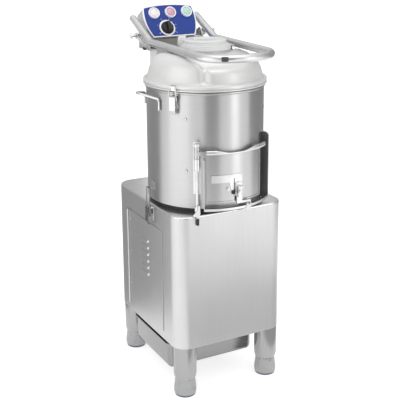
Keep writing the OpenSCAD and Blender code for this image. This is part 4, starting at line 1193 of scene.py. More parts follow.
@dataclass
class Barrel:
    """The rolled drum with its bead, bails, seam and screws."""

    tools: Tools
    wall: float = 2.0
    bead: float = 4.0
    mouth_a0: float = -115.0
    mouth_a1: float = -62.0
    mouth_low: float = 496.0
    mouth_high: float = 598.0
    wire: float = 3.0

    def shell(self) -> Stock:
        """The drum's wall with the outlet's opening, and the wired bead at its rim."""
        first, rest = 20, 124
        angles = [self.mouth_a0 + (self.mouth_a1 - self.mouth_a0) * i / first
                  for i in range(first)]
        angles += [self.mouth_a1 + (360 + self.mouth_a0 - self.mouth_a1) * i / rest
                   for i in range(rest)]
        skins = [[polar(a, r, 0)[:2] for a in angles] for r in (DRUM_R, DRUM_R - self.wall)]
        stock = Stock().walled(skins[0], skins[1], (DRUM_Z, self.mouth_low, self.mouth_high,
                                                    RIM_Z - 6.0),
                               frozenset((col, 1) for col in range(first)))
        ring = arc((DRUM_R - 1.0, RIM_Z - 4.0), self.bead, 0, 345, 23)
        with stock.at(on_drum(0)):
            stock.turned(ring, 180, closed=True)
        with stock.at(on_drum(90)):
            stock.block((DRUM_R - 0.5, -1.6, DRUM_Z + 1), (DRUM_R + 0.35, 1.6, RIM_Z - 9.0))
        return stock

    def bail(self) -> list[Point]:
        """The left bail's path, from foot to foot."""
        stand = DRUM_R + self.wire
        tips = [polar(a, DRUM_R + 30, RIM_Z - 14) for a in (-187.2, -182.0)]
        return rounded_path([polar(-204, stand, RIM_Z - 50), polar(-204, stand, RIM_Z - 24),
                             *tips, polar(-165.3, stand, RIM_Z - 24),
                             polar(-165.3, stand, RIM_Z - 50)], 7.0)

    def build(self) -> None:
        """Makes the drum and its fittings, and dresses what is inside."""
        shop = self.tools.shop
        shop.cut(self.shell(), "drum", "base", "steel_barrel", Look.DRUM, ("barrel_shell",))
        left = self.bail()
        wires = self.tools.wire.wires([left, [(-x, y, z) for x, y, z in left]], self.wire,
                                      shop.look(Look.BRIGHT), 24)
        shop.finish(wires, "bails", "base", "steel_bright", Look.BRIGHT, ("barrel_bails",),
                    Edge.RAW)
        spots = [on_drum(a, DRUM_R, z) @ Matrix.Rotation(math.pi / 2, 4, "Y")
                 for a in (-136.5, -24.0, 90.0) for z in (DRUM_Z + 90, DRUM_Z + 212)]
        screws = self.tools.pattern.spread(screw_head(4.0, 2.8), spots, shop.look(Look.BRIGHT),
                                           1.0, 5)
        shop.finish(screws, "drum_screws", "base", "steel_bright", Look.BRIGHT,
                    ("case_screws",), Edge.RAW)
        # The barrel's floor gets near-black steel, painted shade for the gap between the barrel and
        # the deck.
        shop.ease("barrel_floor", "base", "steel_sheet", Look.UNDER)
        shop.dress(Look.GRIT, "abrasive_liner")
        shop.dress(Look.STRIP, "drain_pipe")


@dataclass
class Outlet:
    """The chute, its curved door with the rolled top edge, and the door's latch."""

    tools: Tools
    skin: float = 150.0
    sheet: float = 1.5
    a0: float = -117.3
    a1: float = -60.0
    low: float = 490.0
    high: float = 606.0
    bar_end: float = -52.0
    pin_a: float = -125.2
    pin_r: float = 157.9
    latch_a: float = -88.0
    boss_a: float = -97.7
    guide_a: float = -93.0
    strike_a: float = -78.0
    chute_a0: float = -119.5
    chute_a1: float = -44.8
    left_wall_a: float = -119.3
    right_wall_a: float = -45.0
    lip: float = 157.0
    floor_z: float = 471.0
    wall_z: float = 472.4
    wall_top: float = 636.2

    def door(self) -> Stock:
        """The curved sheet with its returns, and the arm and knuckle on the pin."""
        stock = Stock()
        s, out = self.skin, self.skin + self.sheet
        with stock.at(on_drum(0)):
            stock.bent(s, out, self.a0, self.a1, self.low, self.high, 48)
            stock.bent(out, out + 1.5, self.a0, self.a0 + 1.2, self.low, self.high, 2)
            stock.bent(out, out + 1.5, self.a1 - 1.2, self.a1, self.low, self.high, 2)
            stock.bent(out, out + 1.5, self.a0 + 1.2, self.a1 - 1.2, self.low, self.low + 3, 44)
        with stock.at(on_drum(self.pin_a, self.pin_r)):
            stock.turned([(3.2, 598.0), (6.2, 598.0), (7.0, 598.8), (7.0, 625.2), (6.2, 626.0),
                          (3.2, 626.0)], 48, closed=True)
            stock.plate([(-7, 0), (7, 0), (6.5, 10), (4, 21.5), (-4.5, 21.5), (-6.5, 10)],
                        self.high + 0.5, self.high + 10.5)
        return stock

    def bar(self) -> Stock:
        """The rolled top edge: thick at both ends and pinched thin between them."""
        rings = []
        count = 72
        for i in range(-4, count + 5):
            t = min(1.0, max(0.0, i / count))
            dome = math.sqrt(max(0.02, 1 - (max(0, -i, i - count) / 4.4) ** 2))
            thick = (2.0 + 3.5 * (1 - smooth(0.10, 0.34, t)) + 3.5 * smooth(0.52, 0.78, t)) * dome
            beyond = 0.35 * (min(0, i) + max(0, i - count))
            angle = self.a0 + 0.6 + (self.bar_end - 1.2 - self.a0) * t + beyond
            middle = self.high - 0.6 + (thick / dome)
            ring = []
            for j in range(24):
                a = math.tau * j / 24
                ring.append(polar(angle, self.skin + 4.0 + 0.71 * thick * math.cos(a),
                                  middle + thick * math.sin(a)))
            rings.append(ring)
        return Stock().loft(rings)

    def chute(self) -> Stock:
        """The chute's floor with its lip, its left wall and the latch's strike."""
        a0, a1 = self.chute_a0, self.chute_a1
        stock = Stock()
        with stock.at(on_drum(0)):
            stock.bent(DRUM_R, self.lip, a0, a1, self.floor_z, self.floor_z + self.sheet, 60)
            stock.bent(self.lip - self.sheet, self.lip, a0, a1, self.wall_z, 477.0, 60)
        with stock.at(on_drum(self.left_wall_a, 0, 0)):
            stock.block((DRUM_R, -0.8, self.wall_z), (155.6, 0.8, 595.0))
            stock.block((155.6, -0.8, 477.0), (160.0, 0.8, 595.0))
        with stock.at(on_drum(self.strike_a, 0, 0)):
            stock.block((156.7, -7, 463), (158.5, 7, 484))
            with stock.at(Matrix.Translation((158, 0, 481)) @ Matrix.Rotation(math.pi / 2, 4, "Y")):
                stock.turned([(0, 0), (2.5, 0), (2.5, 8.2), (1.8, 9.2), (0, 9.2)], 28)
        return stock

    def side_edge_path(self) -> list[Flat]:
        """The right wall's outer edge as (radius, height), from the lip to the drum."""
        return ([(159.2, 473.2), (159.2, 550.0)]
                + arc((148.0, 625.0), 11.2, 0, 90, 10) + [(143.4, self.wall_top)])

    def side_wall(self) -> Stock:
        """The chute's right wall, in dark steel that stands for the shade on its side that faces
        the outlet (painted shade).
        """
        edge = self.side_edge_path()
        stock = Stock()
        upright = Matrix.Rotation(math.pi / 2, 4, "X")
        with stock.at(on_drum(self.right_wall_a) @ upright):
            stock.plate([(DRUM_R, 472.5)] + edge + [(DRUM_R, self.wall_top)], -0.75, 0.75)
        return stock

    def side_edge(self) -> Stock:
        """The rolled rim along the right wall's outer edge."""
        place = on_drum(self.right_wall_a)
        path = [tuple(place @ Vector((r, 0, z))) for r, z in self.side_edge_path()]
        return Stock().tube(path, 1.35, 14)

    def gusset(self) -> Stock:
        """The pointed flap that hangs from the hinge in front of the deck's edge."""
        stock = Stock()
        with stock.at(Matrix.Translation((-91.0, -179.8, 463.0))
                      @ Matrix.Rotation(math.pi / 2, 4, "X")):
            stock.plate([(-3.5, 25.0), (-4.5, 14.0), (-16.0, 4.0), (-14.0, 0.5), (-7.5, -2.0),
                         (-6.5, -6.5), (-1.0, -6.5), (3.5, 6.0), (2.5, 25.0)], 0.0, 1.6)
        return stock

    def tip(self) -> Stock:
        """The rubber tip on the flap's end."""
        stock = Stock()
        with stock.at(Matrix.Translation((-94.5, -181.4, 0.0))):
            stock.turned([(0, 441.0), (2.2, 441.0), (3.2, 442.2), (3.4, 453.0), (2.6, 457.5),
                          (0, 457.5)], 24)
        return stock

    def fittings(self) -> Stock:
        """The strap across the door and the latch's plate, pivot and boss."""
        stock = Stock()
        with stock.at(on_drum(0)):
            stock.bent(self.skin + self.sheet, self.skin + 3.2, -113, -84, 538, 556, 28)
        with stock.at(on_drum(self.latch_a, self.skin)):
            with stock.at(Matrix.Rotation(math.pi / 2, 4, "Y")):
                stock.plate([(-519 + y, x) for x, y in rounded_outline(18, 34, 5.0, 8)],
                            0.8, 4.7)
                with stock.at(Matrix.Translation((-516, 0, 0))):
                    stock.turned([(0, 4), (3, 4), (3, 11.6), (2.2, 12.7), (0, 12.7)], 32)
        with stock.at(on_drum(self.boss_a, self.skin)):
            with stock.at(Matrix.Translation((0, 0, 521)) @ Matrix.Rotation(math.pi / 2, 4, "Y")):
                stock.turned([(0, 1), (5.5, 1), (5.5, 2.8), (4, 3.4), (4, 6.6), (3, 7.5),
                              (0, 7.5)], 32)
        return stock

    def wing(self) -> tuple[Stock, Stock]:
        """The latch's tapered guide plate, and on it the stop and a black strip that stands for the
        shade in its slot (painted shade).
        """
        steel, dark = Stock(), Stock()
        flat = Matrix.Rotation(math.pi / 2, 4, "Y")
        for stock, outline, r0, r1 in (
                (steel, [(-553, -9), (-549, -11), (-535, -10), (-518, -5), (-518, 5),
                         (-535, 8), (-553, 9)], 1.4, 2.9),
                # A black strip where the slot is: painted shade.
                (dark, [(-547, 1.2), (-547, 3.0), (-517, 3.6), (-517, 1.8)], 2.8, 3.5),
                (dark, [(-517.5, -3.8), (-509, -3.4), (-509, 3.4), (-517.5, 3.8)], 1.4, 5.0)):
            with stock.at(on_drum(self.guide_a, self.skin) @ flat):
                stock.plate(outline, r0, r1)
        return steel, dark

    def build(self) -> None:
        """Makes the door and dresses the chute, the hinge and the latch."""
        shop = self.tools.shop
        plate, slot = self.wing()
        shop.cut(plate, "latch_guide", "front_door", "steel_bright", Look.SATIN)
        shop.cut(slot, "latch_guide_slot", "front_door", "black_plastic", Look.BLACK)
        shop.cut(self.door(), "outlet_door", "front_door", "steel_sheet", Look.DOOR,
                 ("discharge_door",))
        shop.cut(self.bar(), "door_rolled_edge", "front_door", "steel_bright", Look.SATIN,
                 edge=Edge.RAW)
        shop.cut(self.fittings(), "door_fittings", "front_door", "steel_bright", Look.SATIN)
        shop.cut(self.chute(), "chute_tray", "base", "steel_bright", Look.SATIN,
                 ("discharge_chute",))
        # The right wall's dark steel is painted shade.
        shop.cut(self.side_wall(), "chute_side", "base", "steel_bright", Look.SHADE)
        shop.cut(self.side_edge(), "chute_side_edge", "base", "steel_bright", Look.SATIN,
                 edge=Edge.RAW)
        shop.cut(self.gusset(), "hinge_gusset", "base", "steel_bright", Look.STRIP)
        shop.cut(self.tip(), "hinge_tip", "base", "dark_rubber", Look.BLACK)
        shop.ease("door_hinge", "base", "steel_bright", Look.SATIN)
        shop.ease("door_latch_lever", "door_latch", "steel_bright", Look.SATIN, Edge.EASED)
        shop.dress(Look.RUBBER, "door_liner")


@dataclass
class Latches:
    """The toggle latches of the hood and of the barrel's base."""

    tools: Tools
    wire: float = 1.2
    half: float = 9.1
    tail: float = 6.1
    stud_n: float = 9.6
    hood_a: float = -147.0
    base_y: float = -40.0
    base_pivot_z: float = 455.0
    base_hook: tuple[float, float] = (7.2, 505.0)
    hood_pivot_z: float = 738.0
    hood_hook: tuple[float, float] = (14.5, 763.0)

    def loop(self, place: Matrix, pivot_z: float, top_n: float, top_z: float) -> list[Point]:
        """A latch wire's path, from one stud over the keeper to the other."""
        n, z = self.stud_n, pivot_z - 9.0
        corners = [(n, self.tail, z), (n, self.half, z), (top_n, self.half, top_z),
                   (top_n, -self.half, top_z), (n, -self.half, z), (n, -self.tail, z)]
        return [tuple(place @ Vector(p)) for p in rounded_path(corners, 2.4, 6)]

    def build(self) -> None:
        """Makes each latch's wire and dresses its plates and lever."""
        shop = self.tools.shop
        shop.ease("latch_fixings", "base", "steel_bright", Look.BRIGHT)
        shop.ease("hood_keeper", "hood", "steel_bright", Look.BRIGHT)
        backing = Stock()
        with backing.at(on_drum(self.hood_a, DRUM_R)):
            backing.block((-0.3, -6.9, 722.0), (1.4, 6.9, 745.0))
        shop.cut(backing, "latch_backing", "base", "steel_bright", Look.SATIN)
        right = Matrix.Translation((SIDE_X, self.base_y, 0))
        left = (Matrix.Translation((-SIDE_X, self.base_y, 0))
                @ Matrix.Rotation(math.pi, 4, "Z"))
        for name, place, pz, top in (
                ("hood", on_drum(self.hood_a, DRUM_R), self.hood_pivot_z, self.hood_hook),
                ("left", left, self.base_pivot_z, self.base_hook),
                ("right", right, self.base_pivot_z, self.base_hook)):
            # The base latches get the dark copy of the latch steel, painted shade; the hood latch
            # stays bright.
            shop.ease(f"{name}_latch_lever", f"{name}_latch", "steel_bright",
                      Look.STRIP if name == "hood" else Look.LATCH, Edge.EASED)
            look = Look.BRIGHT if name == "hood" else Look.LATCH
            mesh = self.tools.wire.wires([self.loop(place, pz, *top)], self.wire,
                                         shop.look(look))
            shop.finish(mesh, f"{name}_wire_loop", f"{name}_wire", "steel_bright", look,
                        (f"{name}_latch_wire",), Edge.RAW)


@dataclass
class Hood:
    """The moulded hood: one skin that passes between three profiles round its axis."""

    tools: Tools
    wall: float = 2.6
    steps: int = 240
    count: int = 34
    foot: float = 19.3
    panel_a0: float = -193.0
    panel_a1: float = -124.0
    groove_a: float = -118.5
    groove_half: float = 4.0
    groove_depth: float = 5.5

    FLANGE = ((149.0, 0.6), (149.0, 3.0), (147.8, 3.5), (145.6, 4.2), (145.6, 6.4),
              (147.8, 7.0), (149.0, 7.6), (149.2, 11.4), (148.6, 13.0), (147.2, 13.9),
              (145.4, 14.2), (143.8, 14.0), (142.4, 13.6), (142.0, 14.0))
    DOME = ((141.0, 15.5), (139.4, 19.3), (137.2, 27.0), (134.6, 37.0), (129.0, 47.6),
            (119.5, 58.6), (106.0, 68.0), (92.0, 73.6), (74.0, 75.0), (62.0, 75.0))
    SCOOP = ((141.0, 15.5), (139.4, 19.3), (137.4, 27.0), (135.4, 37.0), (132.6, 44.5),
             (129.6, 48.2), (114.0, 54.5), (100.0, 66.0), (88.0, 73.0), (74.0, 75.0), (62.0, 75.0))
    RAISED = ((141.0, 15.5), (138.6, 20.5), (136.2, 30.0), (134.6, 43.0), (131.6, 54.0),
              (126.6, 63.5), (119.6, 71.0), (111.0, 75.8), (101.0, 77.0), (90.0, 76.0),
              (76.0, 75.0), (62.0, 75.0))
    COLLAR = ((60.0, 76.0), (60.0, 79.6), (59.6, 80.0), (58.0, 80.0))

    def raised(self, angle: float, share: float) -> float:
        """How far the raised panel stands at an angle, at a share of the way up its face."""
        left = self.panel_a0 + 8.0 * smooth(0.35, 0.75, share)
        right = self.panel_a1 - 20.0 * smooth(0.3, 0.62, share) ** 1.5
        near = smooth(left - 7.0, left + 1.0, angle) * (1 - smooth(right - 1.0, right + 6.0, angle))
        return near * (1 - smooth(0.75, 0.95, share))

    def groove(self, angle: float, share: float) -> float:
        """The depth of the soft groove between the raised panel and the front band."""
        side = math.exp(-((angle - self.groove_a) / self.groove_half) ** 2)
        return self.groove_depth * side * smooth(0.0, 0.06, share) * (1 - smooth(0.3, 0.5, share))

    def skin(self) -> Stock:
        """The hood's outer skin."""
        dome, scoop, panel = (along(p, self.count) for p in (self.DOME, self.SCOOP, self.RAISED))
        rings = []
        for i in range(self.steps):
            angle = -270.0 + 360.0 * i / self.steps
            low = smooth(-132, -116, angle) * (1 - smooth(-104, -44, angle))
            line = list(self.FLANGE)
            for k, (d, s, p) in enumerate(zip(dome, scoop, panel)):
                share = k / (self.count - 1)
                up = self.raised(angle, share)
                r, z = ((a + (b - a) * low) * (1 - up) + c * up for a, b, c in zip(d, s, p))
                line.append((r - self.groove(angle, share), z))
            line += list(self.COLLAR)
            a = math.radians(angle)
            rings.append([(r * math.cos(a), r * math.sin(a), z) for r, z in line])
        stock = Stock()
        with stock.at(on_drum(0, 0, RIM_Z)):
            stock.loft(rings, around=False, along=True)
        return stock

    def build(self) -> None:
        """Makes the hood and dresses its gasket and hinge."""
        shop = self.tools.shop
        shop.cut(self.skin(), "hood_moulding", "hood", "hood_plastic", Look.HOOD,
                 ("hood_shell",), Edge.RAW, sharp=40.0, wall=self.wall)
        plate = Stock()
        with plate.at(on_drum(-147)):
            plate.block((147.0, -6.9, RIM_Z + 1.5), (150.8, 6.9, RIM_Z + 15.5))
        shop.cut(plate, "keeper_plate", "hood", "steel_bright", Look.BRIGHT, edge=Edge.EASED)
        shop.dress(Look.RUBBER, "hood_gasket")
        shop.ease("lid_hinge", "hood", "steel_bright", Look.BRIGHT)


@dataclass
class FeedLid:
    """The stepped lid over the feed opening, with its grip and hinge lug."""

    tools: Tools
    base: float = 830.3
    hinge_x: float = 68.5
    hinge_z: float = 833.9

    PROFILE = ((0.0, 20.0), (48.0, 19.6), (49.4, 12.0), (51.0, 10.0), (56.6, 8.6), (58.4, 4.0),
               (59.6, 0.4), (60.0, 0.0), (62.6, 0.0), (63.0, 0.5), (63.0, 3.6), (62.4, 4.6),
               (61.0, 5.2), (61.0, 7.2), (60.4, 8.4), (58.6, 9.0), (58.6, 11.0), (57.8, 12.0),
               (54.2, 12.7), (54.2, 14.6), (53.4, 15.6), (52.0, 16.0), (52.0, 20.6),
               (51.2, 22.0), (49.4, 22.7), (45.0, 23.0), (44.2, 22.3), (42.0, 22.3),
               (41.2, 23.0), (12.0, 23.0), (11.0, 22.5), (0.0, 22.5))

    def cover(self) -> Stock:
        """The turned cover and the lug that holds its hinge knuckle."""
        stock = Stock()
        with stock.at(on_drum(0)):
            with stock.at(Matrix.Translation((0, 0, self.base))):
                stock.turned(self.PROFILE, 160)
                stock.block((61.0, -11.0, 1.2), (67.4, 11.0, 3.8))
            with stock.at(Matrix.Translation((self.hinge_x, 0, self.hinge_z))
                          @ Matrix.Rotation(math.pi / 2, 4, "X")):
                stock.turned([(1.7, -11), (2.8, -11), (3.2, -10.6), (3.2, 10.6), (2.8, 11),
                              (1.7, 11)], 36, closed=True)
        return stock

    def grip(self) -> Stock:
        """The hollow grip at the lid's left, drawn in towards its top."""
        rings = []
        for inset, z in ((0.0, 8.0), (0.0, 20.0), (1.2, 27.0), (2.4, 29.6), (4.6, 31.0)):
            rings.append(level(rounded_outline(21.0 - 2 * inset, 30.0 - 2 * inset, 5.0, 8), z))
        stock = Stock()
        with stock.at(on_drum(150, 54, self.base)):
            stock.loft(rings)
        return stock

    def build(self) -> None:
        """Makes the lid."""
        shop = self.tools.shop
        shop.cut(self.cover(), "feed_cover", "feed_lid", "lid_plastic", Look.LID, ("feed_lid",),
                 Edge.FINE, 40.0)
        shop.cut(self.grip(), "feed_grip", "feed_lid", "lid_plastic", Look.LID, (), Edge.SOFT)


@dataclass
class TubeFrame:
    """The bent tube that lifts the hood, its pads, ears and stop straps."""

    tools: Tools
    tube: float = 9.5
    arm_x: float = 90.0
    lift: float = 0.9
    corner_y: float = -176.97
    arm_z: float = 834.2
    bow_y: float = 61.97
    bow_r: float = 130.0
    bow_half: float = 24.32
    bend_r: float = 62.0
    arm: float = 233.97
    elbow: float = 60.0
    rise: float = 24.1
    riser: float = 102.0
    pivot_y: float = 128.0
    pivot_z: float = 849.0
    pivot_bore: float = 4.2
    strap_x: float = 102.0
    strap_lean: float = 21.5
    pad_a: float = -117.4
    pad_span: float = 6.4

    def place(self) -> Matrix:
        """The frame's own axes."""
        return (Matrix.Translation((0, self.corner_y, self.arm_z))
                @ Matrix.Rotation(math.radians(self.lift), 4, "X"))

    def half(self) -> list[Point]:
        """The right half of the tube's middle line, from the bow to the riser's end."""
        line = arc((0, self.bow_y), self.bow_r, -90, self.bow_half - 90, 24)
        line += arc((28, 0), self.bend_r, self.bow_half - 90, 0, 20)[1:]
        line += [(self.arm_x, self.arm * i / 6) for i in range(1, 7)]
        path: list[Point] = [(x, y, 0.0) for x, y in line]
        for i in range(1, 13):
            a = math.radians(self.rise * i / 12)
            path.append((self.arm_x, self.arm + self.elbow * math.sin(a),
                         self.elbow * (1 - math.cos(a))))
        a, (x, y, z) = math.radians(self.rise), path[-1]
        path += [(x, y + self.riser * t * math.cos(a), z + self.riser * t * math.sin(a))
                 for t in (0.3, 0.6, 1.0)]
        return path

    def run(self) -> Stock:
        """The whole tube, domed at both ends."""
        right = self.half()
        left = [(-x, y, z) for x, y, z in right[:0:-1]]
        path, radii = left + right, [self.tube] * (len(left) + len(right))
        for end in (0, -1):
            tip, before = Vector(path[end]), Vector(path[1 if end == 0 else -2])
            way = (tip - before).normalized()
            for a in (math.pi / 2 * i / 7 for i in range(1, 8)):
                spot = tuple(tip + way * self.tube * math.sin(a))
                at = 0 if end == 0 else len(path)
                path.insert(at, spot)
                radii.insert(at, max(self.tube * math.cos(a), 0.05))
        stock = Stock()
        with stock.at(self.place()):
            stock.tube(path, radii, 36)
        return stock

    def pad(self) -> Stock:
        """The rubber pad on the front of the bow."""
        rings = []
        for i in range(9):
            t = i / 8
            angle = math.radians(self.pad_a + self.pad_span * t)
            swell = 1.9 * min(1.0, 4 * t, 4 * (1 - t))
            ring = []
            for side, turns in ((swell, range(13)), (-0.8, range(12, -1, -1))):
                for b in (math.radians(-26.0 + 60.0 * j / 12) for j in turns):
                    r = self.tube + side * (min(1.0, 0.4 + 1.2 * math.cos(b - 0.07) ** 8)
                                            if side > 0 else 1.0)
                    reach = self.bow_r + r * math.cos(b)
                    ring.append((reach * math.cos(angle), reach * math.sin(angle),
                                 r * math.sin(b)))
            rings.append(ring)
        stock = Stock()
        with stock.at(self.place() @ Matrix.Translation((0, self.bow_y, 0))):
            stock.loft(rings)
        return stock

    def ears(self) -> Stock:
        """The pivot ears under the risers."""
        stock = Stock()
        across = Matrix.Rotation(math.pi / 2, 4, "Y")
        for s in (-1, 1):
            with stock.at(Matrix.Translation((s * self.arm_x, self.pivot_y, self.pivot_z))):
                with stock.at(across):
                    stock.turned([(self.pivot_bore, -2.5), (10, -2.5), (10, 2.5),
                                  (self.pivot_bore, 2.5)], 48, closed=True)
                stock.block((-2.5, -9, 4.5), (2.5, -4.2, 12))
                stock.block((-2.5, 4.2, 4.5), (2.5, 9, 12))
                stock.block((-2.5, -4.4, 6), (2.5, 4.4, 12))
        return stock

    def straps(self) -> tuple[Stock, Stock]:
        """The two stop straps, and the rubber buffers at their ends."""
        steel, rubber = Stock(), Stock()
        tilt = Matrix.Rotation(math.radians(self.strap_lean), 4, "X")
        for s in (-1, 1):
            place = Matrix.Translation((s * self.strap_x, self.pivot_y, self.pivot_z))
            with steel.at(place):
                with steel.at(Matrix.Rotation(math.pi / 2, 4, "Y")):
                    steel.turned([(self.pivot_bore, -1.5), (8, -1.5), (8, 1.5),
                                  (self.pivot_bore, 1.5)], 40, closed=True)
                with steel.at(tilt @ Matrix.Rotation(math.pi / 2, 4, "Y")):
                    steel.plate([(-5, -56), (-3.6, -58.8), (0, -60), (3.6, -58.8), (5, -56),
                                 (5, -6.2), (-5, -6.2)], -1.5, 1.5)
            with rubber.at(place @ tilt @ Matrix.Translation((0, -54, -4.8))
                           @ Matrix.Rotation(math.pi, 4, "X")):
                rubber.turned([(0, 0), (3.8, 0), (4.5, 0.8), (4.5, 3.6), (3.6, 5.4), (0, 6)], 32)
        return steel, rubber

    def build(self) -> None:
        """Makes the tube with its pad, ears and straps."""
        shop = self.tools.shop
        shop.cut(self.run(), "lift_tube", "hood", "steel_bright", Look.TUBE, ("tube_frame",),
                 Edge.RAW, 60.0)
        shop.cut(self.ears(), "lift_ears", "hood", "steel_bright", Look.TUBE, ("frame_ears",))
        shop.cut(self.pad(), "lift_pad", "hood", "dark_rubber", Look.RUBBER, edge=Edge.RAW)
        steel, rubber = self.straps()
        shop.cut(steel, "stop_bars", "base", "steel_bright", Look.STRIP, ("stop_straps",))
        shop.cut(rubber, "stop_buffers", "base", "dark_rubber", Look.RUBBER, edge=Edge.RAW)


@dataclass
class RearColumn:
    """The post behind the barrel and the yoke that carries the hood and the control head."""

    tools: Tools
    width: float = 68.0
    sheet: float = 1.5
    front_y: float = 116.0
    top: float = 811.5
    low: float = 690.0

    def cover(self) -> Stock:
        """The folded channel under the yoke, open to the rear and narrowed towards the post."""
        rings = []
        y0, t = self.front_y, self.sheet
        for z, w, y1 in ((self.top, 53.0, 157.5), (752.0, 53.0, 157.5), (735.0, 50.0, 150.0),
                         (self.low, self.width / 2, 132.0)):
            outer = [(-w, y1), (-w, y0 + 4), (-w + 1.2, y0 + 1.2), (-w + 4, y0), (w - 4, y0),
                     (w - 1.2, y0 + 1.2), (w, y0 + 4), (w, y1)]
            inner = [(w - t, y1), (w - t, y0 + 4), (w - t - 1, y0 + t + 1), (w - 4, y0 + t),
                     (4 - w, y0 + t), (1 + t - w, y0 + t + 1), (t - w, y0 + 4), (t - w, y1)]
            rings.append(level(outer + inner, z))
        return Stock().loft(rings)

    def apron(self) -> Stock:
        """The curved sheet that closes the gap between the post and the control head."""
        rings = []
        for z, half in ((837.8, 57.0), (828.0, 54.0), (820.0, 50.0), (813.0, 44.0)):
            line = [(-half + half * i / 8, 113.0 + 6.0 * (1 - i / 8) ** 2 * (840.0 - z) / 27.0)
                    for i in range(17)]
            rings.append([(x, y, z) for x, y in line]
                         + [(x, y + self.sheet, z) for x, y in reversed(line)])
        return Stock().loft(rings)

    def build(self) -> None:
        """Makes the post's cover and dresses the post, the yoke and the pivots."""
        shop = self.tools.shop
        shop.cut(self.cover(), "column_cover", "base", "grey_plastic", Look.POST,
                 edge=Edge.EASED)
        # The apron's dark grey is painted shade under the control head.
        shop.cut(self.apron(), "column_apron", "base", "grey_plastic", Look.APRON)
        shop.ease("rear_post", "base", "steel_sheet", Look.SHEET, Edge.EASED)
        shop.ease("frame_yoke", "base", "steel_sheet", Look.SHEET)
        shop.ease("hinge_pins", "base", "steel_bright", Look.BRIGHT)


